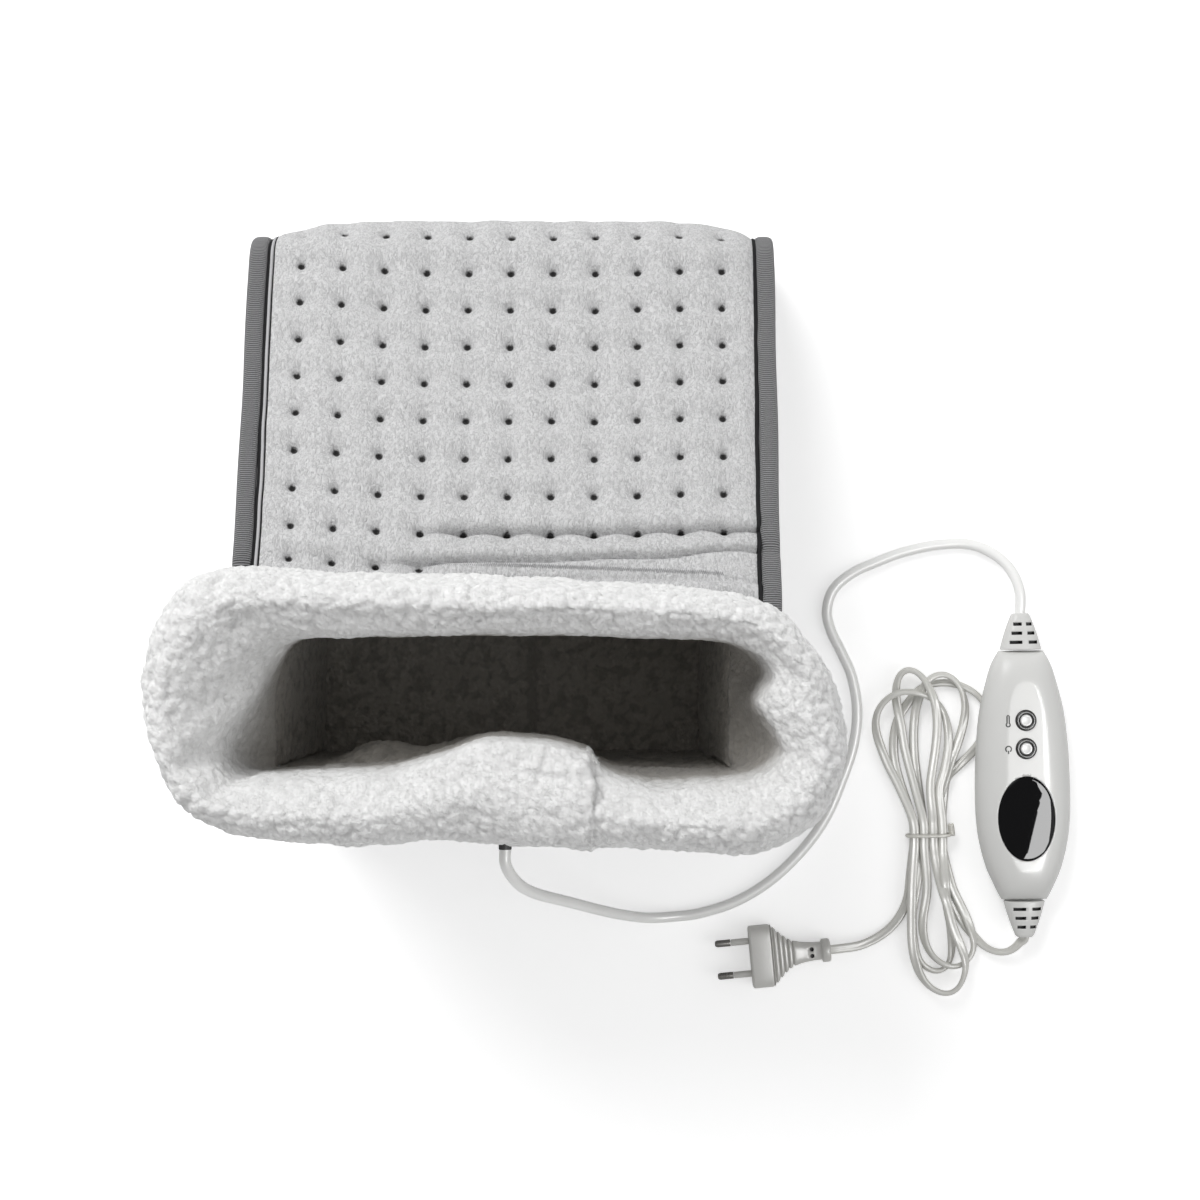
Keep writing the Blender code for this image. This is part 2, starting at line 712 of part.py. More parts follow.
# Grommet: a flange inside the heel and a sleeve out through it, then the lead
grommet = turned("lead_grommet", [
    (0, grommet_flange_thickness), (grommet_flange / 2, grommet_flange_thickness),
    (grommet_flange / 2, 0), (grommet_neck / 2, 0),
    (grommet_neck / 2, -heel_thickness - gap), (grommet_tip / 2, -grommet_length),
    (0, -grommet_length)], sleeve_look, (lead_exit_x, heel_inner_y + gap, lead_exit_height),
    steps=16)
grommet.rotation_euler = (math.radians(-90), 0, 0)
lead_start_y = heel_inner_y - grommet_length


def case_point(x, y, z):
    """World place of a point in the case's own frame."""
    c, s = math.cos(case_turn), math.sin(case_turn)
    return (case_x + x * c - y * s, case_y + x * s + y * c, z)


relief_axis = case_bottom_height
relief_end = case_length / 2 + gap + relief_length + gap
lead_points = smooth_route(
    [(lead_exit_x, lead_start_y - gap, lead_exit_height),
     (lead_exit_x, lead_start_y - gap - lead_diameter, lead_exit_height), *lead_route,
     case_point(0, relief_end + 2 * lead_diameter, relief_axis),
     case_point(0, relief_end, relief_axis)], 2.5 * lead_diameter)
tube("heater_lead", lead_points, lead_diameter, lead_look)

# Cuff: a rounded wall on the rim, widest above its middle, in gentle waves
cuff_height = cuff_top - cuff_bottom
mouth_back = -cuff_back + cuff_wall
mouth_front = -cuff_front - cuff_wall
cuff_middle_y = -(cuff_front + cuff_back) / 2


def cuff_ring(half, back, front, height, radius, wave, phase):
    points = rounded_rectangle(-half, half, back, front, radius, 5, 9, 1)
    ring = []
    for k, (x, y) in enumerate(points):
        angle = math.radians(360) * k / len(points)
        swell = wave * math.sin(cuff_waves * angle + phase)
        reach = math.hypot(x, y - cuff_middle_y)
        x, y = x * (1 + swell / reach), cuff_middle_y + (y - cuff_middle_y) * (1 + swell / reach)
        c, s = math.cos(cuff_turn), math.sin(cuff_turn)
        lift = wave if height > cuff_bottom + cuff_height / 2 else 0
        ring.append((x * c - (y - cuff_middle_y) * s,
                     cuff_middle_y + x * s + (y - cuff_middle_y) * c,
                     height + lift * math.sin((cuff_waves - 2) * angle)))
    return ring


half_cuff = cuff_width / 2
half_mouth = cuff_mouth_width / 2
crest_half = (half_cuff + half_mouth) / 2
crest_back = (mouth_back - cuff_back) / 2
crest_front = (mouth_front - cuff_front) / 2
shoulder = cuff_wall * 0.30
bulge_height = cuff_bottom + cuff_height * cuff_bulge_share
throat_half = lining_inner + gap
rings = (
    (throat_half, heel_lining_front - gap, throat_front + gap, cuff_bottom, cuff_mouth_corner, 0, 0),
    ((throat_half + half_mouth) / 2, (heel_lining_front + mouth_back) / 2,
     (throat_front + mouth_front) / 2, cuff_bottom + cuff_height * 0.30, cuff_mouth_corner,
     cuff_wave / 2, 1),
    (half_mouth, mouth_back, mouth_front, bulge_height, cuff_mouth_corner, cuff_wave, 1),
    (half_mouth + shoulder / 3, mouth_back - shoulder / 3, mouth_front + shoulder / 3,
     cuff_top - shoulder, cuff_mouth_corner, cuff_wave, 1),
    (crest_half - shoulder / 2, crest_back + shoulder / 2, crest_front - shoulder / 2,
     cuff_top - shoulder / 5, (cuff_corner + cuff_mouth_corner) / 2, cuff_wave / 2, 0),
    (crest_half + shoulder / 2, crest_back - shoulder / 2, crest_front + shoulder / 2,
     cuff_top - shoulder / 5, (cuff_corner + cuff_mouth_corner) / 2, cuff_wave / 2, 0),
    (half_cuff - shoulder / 3, -cuff_back + shoulder / 3, -cuff_front - shoulder / 3,
     cuff_top - shoulder, cuff_corner, cuff_wave, 2),
    (half_cuff, -cuff_back, -cuff_front, bulge_height, cuff_corner, cuff_wave, 2),
    (half_cuff - cuff_skirt, -cuff_back - cuff_skirt / 2, -cuff_front,
     cuff_bottom + cuff_height * 0.30, cuff_corner, cuff_wave / 2, 2),
    (half_cuff - cuff_skirt, -cuff_back - cuff_skirt, -cuff_front - gap, cuff_bottom,
     cuff_corner, 0, 0),
)
add("cuff", loft("cuff", [cuff_ring(*ring) for ring in rings], closed=True), sherpa)
hem_ring = cuff_ring(half_cuff - cuff_skirt + hem_stand, -cuff_back - cuff_skirt - hem_stand,
                     -cuff_front, cuff_bottom - gap - hem_diameter / 2, cuff_corner, 0, 0)
hem_points = [p for p in hem_ring if p[1] < cuff_middle_y]
hem_points.sort(key=lambda p: math.atan2(p[1] - cuff_middle_y, p[0]))
tube("cuff_hem_tape", hem_points, hem_diameter, tape, resolution=1)

# Hand controller: a case in two shells, in a frame of its own
case = bpy.data.objects.new("controller_frame", None)
case.location = (case_x, case_y, 0)
case.rotation_euler = (0, 0, case_turn)
parts.objects.link(case)
half_case = case_length / 2


def case_solid(name, height, shares, inset=0.0, drop=0.0):
    """One half of the case, solid: its outline at the rim and its full height over the middle."""
    section, ends, crown = shares
    bm = bmesh.new()
    bmesh.ops.create_grid(bm, x_segments=case_cells_across, y_segments=case_cells_along, size=1)
    for vert in bm.verts:
        u = math.sin(math.radians(90) * vert.co.x)
        v = math.sin(math.radians(90) * vert.co.y)
        rim = max(0.0, (1 - abs(u) ** section) * (1 - abs(v) ** ends))
        vert.co = (u * (case_half_width(v) - inset), v * (half_case - inset),
                   height * min(1.0, case_flat_share * rim ** crown))
    if drop:
        walls = bmesh.ops.extrude_edge_only(bm, edges=[e for e in bm.edges if e.is_boundary])
        lower = [item for item in walls["geom"] if isinstance(item, bmesh.types.BMVert)]
        bmesh.ops.translate(bm, verts=lower, vec=(0, 0, -math.copysign(drop, height)))
    bmesh.ops.holes_fill(bm, edges=[e for e in bm.edges if e.is_boundary], sides=0)
    return finish_mesh(name, bm)


top_base = case_bottom_height + gap
case_top_z = top_base + case_top_height
button_places = (("temp", button_middle + button_pitch / 2),
                 ("power", button_middle - button_pitch / 2))

top_shell = add("controller_top_shell",
                case_solid("controller_top_shell", case_top_height, case_top_shares),
                case_look, (0, 0, top_base), parent=case)
top_hollow = as_cutter(add("top_hollow", case_solid(
    "top_hollow", case_top_height - case_wall, case_top_shares, case_wall, overrun), None,
    (0, 0, top_base), parent=case))
boolean(top_shell, top_hollow)


def oval(name, play):
    """An upright oval post as big as the display's glass and its play."""
    mesh = cylinder(name, 1, case_top_height + 2 * overrun, 32)
    for vert in mesh.vertices:
        vert.co.x *= display_width / 2 + play
        vert.co.y *= display_length / 2 + play
    return as_cutter(add(name, mesh, None, (0, -display_middle, top_base + overrun), parent=case))


boolean(top_shell, oval("display_hole", gap))
lens = add("display_lens", case_solid("display_lens", case_top_height, case_top_shares),
           lens_look, (0, 0, top_base), parent=case)
boolean(lens, top_hollow)
boolean(lens, oval("display_edge", 0.0), "INTERSECT")

# Buttons in their rings, over two switches on the board
board_bottom = case_bottom_height - gap - board_thickness
board_top = board_bottom + board_thickness
ring_foot = case_top_z - ring_depth
foot_top = ring_foot - gap
foot_bottom = foot_top - button_foot_thickness
plunger_top = foot_bottom - button_travel - gap
bore = button_diameter / 2 + button_play
for name, y in button_places:
    hole = as_cutter(add(name + "_hole", cylinder(
        name + "_hole", ring_sleeve / 2 + gap, case_wall + 2 * overrun), None,
        (0, y, case_top_z - case_wall - overrun), parent=case))
    boolean(top_shell, hole)
    turned(name + "_button_ring", [
        (bore, ring_height + gap), (ring_diameter / 2 - ring_height / 2, ring_height + gap),
        (ring_diameter / 2, ring_height / 2 + gap), (ring_diameter / 2, gap),
        (ring_sleeve / 2, gap), (ring_sleeve / 2, -ring_depth), (bore, -ring_depth)],
        ring_look, (0, y, case_top_z), parent=case, closed=True)
    turned(name + "_button", [
        (0, button_proud + button_dome), (button_diameter / 4, button_proud + button_dome * 3 / 4),
        (button_diameter / 2 - button_dome, button_proud),
        (button_diameter / 2, button_proud - button_dome),
        (button_diameter / 2, foot_top - case_top_z),
        (button_foot_diameter / 2, foot_top - case_top_z),
        (button_foot_diameter / 2, foot_bottom - case_top_z), (0, foot_bottom - case_top_z)],
        button_look, (0, y, case_top_z), parent=case)
    switch = add(name + "_switch", box(name + "_switch",
                                       (switch_width, switch_width, switch_height)),
                 switch_look, (0, y, board_top + gap), parent=case)
    plunger_foot = switch_height / 2
    plunger = as_cutter(add(name + "_plunger", cylinder(
        name + "_plunger", plunger_diameter / 2,
        plunger_top - board_top - gap - plunger_foot, 12), None,
        (0, y, board_top + gap + plunger_foot), parent=case))
    boolean(switch, plunger, "UNION")

# Bottom shell with the pillars that carry the board, and two screws up into them
bottom_shell = add("controller_bottom_shell",
                   case_solid("controller_bottom_shell", -case_bottom_height,
                              case_bottom_shares),
                   case_look, (0, 0, case_bottom_height), parent=case)
bottom_hollow = as_cutter(add("bottom_hollow", case_solid(
    "bottom_hollow", -(case_bottom_height - case_wall), case_bottom_shares, case_wall, overrun),
    None, (0, 0, case_bottom_height), parent=case))
boolean(bottom_shell, bottom_hollow)
pillar_top = board_bottom - gap
pillar_places = [(x * pillar_spread_x / 2, y * pillar_spread_y / 2)
                 for x in (-1, 1) for y in (-1, 1)]
for number, (x, y) in enumerate(pillar_places):
    name = "pillar_" + str(number + 1)
    pillar = as_cutter(add(name, cylinder(name, pillar_diameter / 2,
                                          pillar_top - case_wall / 2, 16), None,
                           (x, y, case_wall / 2), parent=case))
    boolean(bottom_shell, pillar, "UNION")
for number, (x, y) in enumerate((pillar_places[0], pillar_places[3])):
    name = "case_screw_" + str(number + 1)
    head_top = screw_recess - gap
    recess = as_cutter(turned(name + "_recess", [
        (0, head_top + screw_length + gap), (screw_shank / 2 + gap, head_top + screw_length + gap),
        (screw_shank / 2 + gap, screw_recess), (screw_head / 2 + gap, screw_recess),
        (screw_head / 2 + gap, -overrun), (0, -overrun)], None, (x, y, 0), case, 12))
    boolean(bottom_shell, recess)
    turned(name, [
        (0, head_top + screw_length), (screw_shank / 2, head_top + screw_length),
        (screw_shank / 2, head_top), (screw_head / 2, head_top),
        (screw_head / 2, head_top - screw_head_height), (0, head_top - screw_head_height)],
        steel_look, (x, y, 0), case, 12)

add("circuit_board", box("circuit_board", (board_width, board_length, board_thickness)),
    board_look, (0, 0, board_bottom), parent=case)
module_size = (display_width * display_module_share, display_length * display_module_share,
               case_top_z - 2 * case_wall - board_top - gap)
add("display_module", box("display_module", module_size), module_look,
    (0, -display_middle, board_top + gap), parent=case)


def squircle(half_width, half_height, squareness, count):
    """Points round a section between an ellipse (2) and a rectangle (above 4)."""
    points = []
    for k in range(count):
        angle = math.radians(360) * (k + 0.5) / count
        c, s = math.cos(angle), math.sin(angle)
        points.append((math.copysign(abs(c) ** (2 / squareness), c) * half_width,
                       math.copysign(abs(s) ** (2 / squareness), s) * half_height))
    return points


# Strain reliefs at both ends of the case: tapered sleeves with three rows of slots
def relief(name, side):
    rings = []
    for share in (0.0, 0.5, 1.0):
        half_width = (relief_root_width * (1 - share) + relief_tip_width * share) / 2
        half_height = (relief_root_height * (1 - share) + relief_tip_height * share) / 2
        rings.append([(u, share * relief_length, w)
                      for u, w in squircle(half_width, half_height, 2.6, 16)])
    turn = (0, 0, 0) if side > 0 else (0, 0, math.radians(180))
    place = (0, side * (half_case + gap), relief_axis)
    made = add(name, loft(name, rings), cord_look if side < 0 else lead_look, place, turn, case)
    bm = bmesh.new()
    for row in range(relief_slot_rows):
        y = relief_slot_pitch * (row + 0.75)
        half_width = (relief_root_width + (relief_tip_width - relief_root_width)
                      * y / relief_length) / 2
        for half in (-1, 1):
            slot = bmesh.ops.create_cube(bm, size=1)["verts"]
            bmesh.ops.scale(bm, verts=slot, vec=(
                half_width * relief_slot_length_share, relief_slot_width,
                relief_root_height + 2 * overrun))
            bmesh.ops.translate(bm, verts=slot, vec=(
                half * half_width * relief_slot_middle_share, y, 0))
    slots = as_cutter(add(name + "_slots", finish_mesh(name + "_slots", bm), None, place, turn,
                          case))
    boolean(made, slots)
    return made


relief("heater_side_relief", 1)
relief("mains_side_relief", -1)

# Hank: up through the waist on the right, over a top lobe, down on the left and round a
# bottom lobe, inwards in the lower layer and outwards again in the upper one
strand_step = cord_diameter + strand_gap
climb_half_turn = math.floor(hank_turns)
peak = math.atan(math.sqrt(2))


def hank_place(turn):
    """World place of the strand's middle at a number of turns."""
    half_turn = math.floor(turn * 2)
    share = turn * 2 - half_turn
    angle = math.radians(180) * share
    upper = 0.0 if half_turn < climb_half_turn else 1.0
    if half_turn == climb_half_turn:
        first, last = climb_shares
        upper = smoothstep((share - first) / (last - first))
    level = min(turn, hank_turns - turn)
    middle = (half_turn + 0.5) / 2
    top = half_turn % 2 == 0
    lobe_level = min(middle, hank_turns - middle)
    if half_turn > climb_half_turn:
        lobe_level += upper_level_shares[0 if top else 1]
    waist = waist_half - waist_step * level
    half = ((top_lobe_half - top_width_step * lobe_level) if top
            else (bottom_lobe_half - bottom_width_step * lobe_level))
    length = (top_lobe_length if top else bottom_lobe_length) - lobe_length_step * lobe_level
    spread = (half - waist * math.cos(peak)) / (math.cos(peak) * math.sin(peak) ** 2)
    x = math.cos(angle) * (waist + spread * math.sin(angle) ** 2) * (1 if top else -1)
    x += (top_lobe_lean if top else bottom_lobe_lean) * math.sin(angle) ** 2
    past = max(0, -turn, turn - hank_turns) / hank_end_share
    x += math.copysign(hank_end_flare * past ** 2, hank_turns / 2 - turn)
    y = length * math.sin(angle) * (1 if top else -1)
    lift = waist_lift * (1 - smoothstep((abs(y) - lift_flat) / (lift_reach - lift_flat)))
    return (hank_x + x, hank_y + y, cord_diameter / 2 + lift + upper * strand_step)


def least_gap(points, diameter):
    """Least distance between two stretches of a strand that aren't next to each other."""
    points = np.array(points)
    run = np.concatenate([[0], np.cumsum(np.linalg.norm(np.diff(points, axis=0), axis=1))])
    best = math.inf
    for k in range(len(points)):
        far = run - run[k] > 4 * diameter
        if far.any():
            best = min(best, float(np.linalg.norm(points[far] - points[k], axis=1).min()))
    return best - diameter


def past_end(points, distance):
    """A place beyond the first of the points, in line with the first two."""
    first, second = Vector(points[0]), Vector(points[1])
    return tuple(first + (first - second).normalized() * distance)


first_turn, last_turn = -hank_end_share, hank_turns + hank_end_share
count = round((last_turn - first_turn) * hank_points_per_turn)
fine_points = [hank_place(first_turn + (last_turn - first_turn) * k / (16 * count))
               for k in range(16 * count + 1)]
fine_points = [past_end(fine_points, cord_diameter), *fine_points,
               past_end(fine_points[::-1], cord_diameter)]
hank_points = [fine_points[0], *fine_points[1:-1:16], fine_points[-1]]
tube("mains_hank", hank_points, cord_diameter, cord_look, resolution=1)
print("least gap of the hank to itself, mm:", round(1000 * least_gap(fine_points, cord_diameter), 2))


tail_spacing = 2.5 * cord_diameter
tail_points = smooth_route(
    [case_point(0, -relief_end, relief_axis),
     case_point(0, -relief_end - 1.5 * cord_diameter, relief_axis), *controller_tail_route,
     past_end(hank_points, gap + 1.5 * cord_diameter), past_end(hank_points, gap)],
    tail_spacing)
tube("mains_tail_controller", tail_points, cord_diameter, cord_look)

# Plug: a flat block, a ribbed grip that narrows, a round neck and a collar
plug = bpy.data.objects.new("plug_frame", None)
plug.location = (plug_x, plug_y, plug_height / 2)
plug.rotation_euler = (0, 0, plug_turn)
parts.objects.link(plug)
half_plug, half_high = plug_width / 2, plug_height / 2
stations = [(0.0, half_plug - plug_edge, half_high - plug_edge, 4.5),
            (plug_edge, half_plug, half_high, 4.5),
            (plug_block_length - plug_edge, half_plug, half_high, 4.5),
            (plug_block_length, half_plug - plug_edge, half_high - plug_edge, 4.5)]
rib_pitch = plug_ribs_length / plug_ribs
for k in range(plug_ribs):
    share = k / (plug_ribs - 1)
    width = (plug_ribs_width + (plug_ribs_end_width - plug_ribs_width) * share) / 2
    height = half_high + (plug_neck / 2 - half_high) * share / 2
    x = plug_block_length + rib_pitch * k
    stations += [(x + rib_pitch * 0.15, width - plug_rib_depth, height - plug_rib_depth, 3.5),
                 (x + rib_pitch * 0.45, width - plug_rib_depth, height - plug_rib_depth, 3.5),
                 (x + rib_pitch * 0.55, width, height, 3.5),
                 (x + rib_pitch, width, height, 3.5)]
taper_end = plug_block_length + plug_ribs_length + plug_taper_length
neck_end = taper_end + plug_neck_length
plug_length = neck_end + plug_collar_length
stations += [(taper_end, plug_neck / 2, plug_neck / 2, 2.4),
             (neck_end - plug_edge, plug_neck / 2, plug_neck / 2, 2.0),
             (neck_end, plug_collar / 2, plug_collar / 2, 2.0),
             (plug_length - plug_edge, plug_collar / 2, plug_collar / 2, 2.0),
             (plug_length, plug_collar / 2 - plug_edge, plug_collar / 2 - plug_edge, 2.0)]
add("plug_body", loft("plug_body", [[(x, u, w) for u, w in squircle(a, b, n, 16)]
                                    for x, a, b, n in stations]), plug_look, parent=plug)
back = (0, math.radians(-90), 0)
for number, side in ((1, 1), (2, -1)):
    y = side * pin_spacing / 2
    add("pin_sleeve_" + str(number), cylinder("pin_sleeve", pin_sleeve_diameter / 2,
                                              pin_sleeve_length, 12),
        plug_look, (-gap, y, 0), back, plug)
    tip_length = pin_length - pin_sleeve_length
    turned("plug_pin_" + str(number), [
        (0, tip_length), (pin_diameter / 4, tip_length - pin_diameter / 12),
        (pin_diameter / 2, tip_length - pin_diameter / 3), (pin_diameter / 2, 0), (0, 0)],
        pin_look, (-pin_sleeve_length - 2 * gap, y, 0), plug, 12).rotation_euler = back


def plug_point(x):
    """World place of a point on the plug's axis."""
    return (plug_x + x * math.cos(plug_turn), plug_y + x * math.sin(plug_turn), half_high)


plug_tail_points = smooth_route(
    [past_end(hank_points[::-1], gap), past_end(hank_points[::-1], gap + 1.5 * cord_diameter),
     *plug_tail_route, plug_point(plug_length + gap + 1.5 * cord_diameter),
     plug_point(plug_length + gap)], tail_spacing)
tube("mains_tail_plug", plug_tail_points, cord_diameter, cord_look)

# Tie: one wire once round the waist, its two ends side by side on the right
tie_low = tie_diameter / 2
tie_high = waist_lift + 2 * cord_diameter + strand_gap + tie_play + tie_diameter / 2
tie_half = waist_half + cord_diameter / 2 + tie_play + tie_diameter / 2
tie_round = (cord_diameter + tie_diameter) / 2 + gap
tie_points = [(hank_x + tie_half + tie_end, hank_y + tie_diameter, tie_low + tie_round)]
loop = rounded_rectangle(-tie_half, tie_half, tie_low, tie_high, tie_round, 3)
for k, (x, z) in enumerate(loop):
    share = k / (len(loop) - 1)
    tie_points.append((hank_x + x, hank_y + tie_diameter * (0.75 - 1.5 * share), z))
tie_points.append((hank_x + tie_half + tie_end, hank_y - tie_diameter,
                   tie_high - tie_round - tie_diameter))
tube("cord_tie", tie_points, tie_diameter, tie_look, resolution=1)

mains_length = length_of(tail_points) + length_of(fine_points) + length_of(plug_tail_points)
print("heater lead, m:", round(length_of(lead_points), 3))
print("mains cord, m:", round(mains_length, 3), "of which hank", round(length_of(fine_points), 3))
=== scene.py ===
# Electric foot warmer: a padded pouch with a fleece cuff, its hand controller and its mains cord
import math
import bmesh
import bpy
import numpy as np
from mathutils import Matrix, Vector, noise


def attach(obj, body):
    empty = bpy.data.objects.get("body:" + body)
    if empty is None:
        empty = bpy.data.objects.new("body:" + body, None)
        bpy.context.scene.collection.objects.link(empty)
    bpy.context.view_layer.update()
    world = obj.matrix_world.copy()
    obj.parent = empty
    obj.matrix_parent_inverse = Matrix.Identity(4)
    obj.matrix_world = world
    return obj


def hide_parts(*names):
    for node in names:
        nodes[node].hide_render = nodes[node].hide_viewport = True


noise.seed_set(5)  # noise_vector moves with the seed
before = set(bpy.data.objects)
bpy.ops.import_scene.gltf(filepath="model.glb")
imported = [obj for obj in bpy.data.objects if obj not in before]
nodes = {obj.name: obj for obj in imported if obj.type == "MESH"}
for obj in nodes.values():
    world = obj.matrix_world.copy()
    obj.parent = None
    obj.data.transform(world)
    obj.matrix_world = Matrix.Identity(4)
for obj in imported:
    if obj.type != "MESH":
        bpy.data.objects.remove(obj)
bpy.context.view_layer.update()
print("frame loaded")

# Camera: straight down, its axis through the middle of the picture
camera = {"x": 0.049, "y": -0.043, "height": 1.25, "lens": 65.2, "sensor": 36.0, "pixels": 1200}


def fromPhoto(u, v, height):
    # a pixel of the photograph, as a place at that height
    perPixel = camera["sensor"] / camera["lens"] / camera["pixels"] * (camera["height"] - height)
    half = camera["pixels"] / 2
    return Vector(((u - half) * perPixel + camera["x"],
                   (half - v) * perPixel + camera["y"], height))


def addCamera():
    data = bpy.data.cameras.new("topCamera")
    data.lens = camera["lens"]
    data.sensor_width = camera["sensor"]
    data.clip_start = 0.01
    obj = looseObject("topCamera", data)
    obj.location = (camera["x"], camera["y"], camera["height"])
    bpy.context.scene.camera = obj


# Node groups that several materials share
def newGroup(name, inputs, outputs):
    group = bpy.data.node_groups.new(name, "ShaderNodeTree")
    for label, kind, value in inputs:
        socket = group.interface.new_socket(name=label, in_out="INPUT", socket_type=kind)
        if value is not None:
            socket.default_value = value
    for label, kind in outputs:
        group.interface.new_socket(name=label, in_out="OUTPUT", socket_type=kind)
    return group, group.nodes.new("NodeGroupInput"), group.nodes.new("NodeGroupOutput")


def addNode(tree, kind, **settings):
    made = tree.nodes.new(kind)
    for key, value in settings.items():
        if key in made.inputs:
            made.inputs[key].default_value = value
        else:
            setattr(made, key, value)
    return made


def mathNode(tree, operation, a, b=None):
    made = addNode(tree, "ShaderNodeMath", operation=operation)
    for slot, value in ((0, a), (1, b)):
        if value is None:
            continue
        if isinstance(value, (int, float)):
            made.inputs[slot].default_value = value
        else:
            tree.links.new(value, made.inputs[slot])
    return made.outputs[0]


def mixNode(tree, factor, a, b):
    made = addNode(tree, "ShaderNodeMix", data_type="RGBA")
    for socket, value in ((made.inputs[0], factor), (made.inputs[6], a), (made.inputs[7], b)):
        if isinstance(value, (int, float, tuple)):
            socket.default_value = value
        else:
            tree.links.new(value, socket)
    return made.outputs[2]


def rangeNode(tree, value, low, high, most, kind="LINEAR"):
    # 0 at low, most at high
    made = tree.nodes.new("ShaderNodeMapRange")
    made.interpolation_type = kind
    for label, number in (("From Min", low), ("From Max", high), ("To Min", 0.0), ("To Max", most)):
        made.inputs[label].default_value = number
    tree.links.new(value, made.inputs["Value"])
    return made.outputs[0]


def attributeNode(tree, name):
    return addNode(tree, "ShaderNodeAttribute", attribute_name=name)


def makeGrainGroup():
    # fine and coarse noise: a colour that varies a little and a height for bumps
    group, start, end = newGroup("surfaceGrain", (
        ("Vector", "NodeSocketVector", None), ("Color", "NodeSocketColor", (0.8, 0.8, 0.8, 1)),
        ("Fine Scale", "NodeSocketFloat", 900.0), ("Coarse Scale", "NodeSocketFloat", 60.0),
        ("Variation", "NodeSocketFloat", 0.1), ("Stretch", "NodeSocketFloat", 0.0)),
        (("Color", "NodeSocketColor"), ("Height", "NodeSocketFloat"),
         ("Coarse", "NodeSocketFloat")))
    links = group.links
    fine = addNode(group, "ShaderNodeTexNoise", Detail=3.0, Roughness=0.6)
    coarse = addNode(group, "ShaderNodeTexNoise", Detail=2.0, Roughness=0.5)
    for made, scale in ((fine, "Fine Scale"), (coarse, "Coarse Scale")):
        links.new(start.outputs["Vector"], made.inputs["Vector"])
        links.new(start.outputs[scale], made.inputs["Scale"])
    links.new(start.outputs["Stretch"], fine.inputs["Distortion"])
    both = mathNode(group, "ADD", mathNode(group, "MULTIPLY", fine.outputs["Fac"], 0.5),
                    mathNode(group, "MULTIPLY", coarse.outputs["Fac"], 0.5))
    offset = mathNode(group, "MULTIPLY", mathNode(group, "SUBTRACT", both, 0.5), 4.0)
    gain = mathNode(group, "ADD", mathNode(
        group, "MULTIPLY", offset, start.outputs["Variation"]), 1.0)
    tint = addNode(group, "ShaderNodeVectorMath", operation="SCALE")
    links.new(start.outputs["Color"], tint.inputs[0])
    links.new(gain, tint.inputs["Scale"])
    links.new(tint.outputs[0], end.inputs["Color"])
    links.new(fine.outputs["Fac"], end.inputs["Height"])
    links.new(coarse.outputs["Fac"], end.inputs["Coarse"])
    return group


grainGroup = makeGrainGroup()


def newMaterial(name, color, roughness, metallic=0.0, sheen=0.0, coat=0.0):
    made = bpy.data.materials.new(name)
    made.use_nodes = True
    shader = made.node_tree.nodes["Principled BSDF"]
    shader.inputs["Base Color"].default_value = (*color, 1.0)
    shader.inputs["Roughness"].default_value = roughness
    shader.inputs["Metallic"].default_value = metallic
    shader.inputs["Sheen Weight"].default_value = sheen
    shader.inputs["Sheen Roughness"].default_value = 0.5
    shader.inputs["Coat Weight"].default_value = coat
    return made, made.node_tree, shader


def coordinates(tree):
    return tree.nodes.new("ShaderNodeTexCoord").outputs["Object"]


def placeGrain(tree, vector, color, fine, coarse, variation, stretch=0.0):
    made = tree.nodes.new("ShaderNodeGroup")
    made.node_tree = grainGroup
    tree.links.new(vector, made.inputs["Vector"])
    if isinstance(color, tuple):
        made.inputs["Color"].default_value = (*color, 1.0)
    else:
        tree.links.new(color, made.inputs["Color"])
    for label, value in (("Fine Scale", fine), ("Coarse Scale", coarse), ("Variation", variation),
                         ("Stretch", stretch)):
        made.inputs[label].default_value = value
    return made


def bumpInto(tree, shader, height, distance):
    made = addNode(tree, "ShaderNodeBump", Distance=distance, Strength=1.0)
    tree.links.new(height, made.inputs["Height"])
    tree.links.new(made.outputs[0], shader.inputs["Normal"])


def grainMaterial(name, color, roughness, fine, coarse, variation, bump, metallic=0.0, sheen=0.0,
                  coat=0.0, spread=0.0, specular=None):
    # one colour with its grain, a bump from it and a roughness that varies with it
    made, tree, shader = newMaterial(name, color, roughness, metallic, sheen, coat)
    grain = placeGrain(tree, coordinates(tree), color, fine, coarse, variation)
    tree.links.new(grain.outputs["Color"], shader.inputs["Base Color"])
    if bump:
        bumpInto(tree, shader, grain.outputs["Height"], bump)
    if spread:
        varied = mathNode(tree, "ADD", mathNode(tree, "MULTIPLY", mathNode(
            tree, "SUBTRACT", grain.outputs["Coarse"], 0.5), spread), roughness)
        tree.links.new(varied, shader.inputs["Roughness"])
    if specular is not None:
        shader.inputs["Specular IOR Level"].default_value = specular
    return made


# Mesh helpers
def looseObject(name, data):
    obj = bpy.data.objects.new(name, data)
    bpy.context.scene.collection.objects.link(obj)
    return obj


def linkMesh(name, mesh, look, body="foot_warmer", replaced=(), slot=None):
    obj = looseObject(name, mesh)
    mesh.materials.clear()
    mesh.materials.append(look)
    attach(obj, body)
    if replaced:
        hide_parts(*replaced)
    return obj


def finishMesh(name, bm, angle=40):
    # sharp edges over that angle; without an angle the whole mesh is smooth
    bmesh.ops.recalc_face_normals(bm, faces=bm.faces)
    mesh = bpy.data.meshes.new(name)
    bm.to_mesh(mesh)
    bm.free()
    mesh.shade_smooth()
    if angle:
        mesh.set_sharp_from_angle(angle=math.radians(angle))
    return mesh


def newVerts(made):
    # the vertices among what an operator made
    return [g for g in made["geom"] if isinstance(g, bmesh.types.BMVert)]


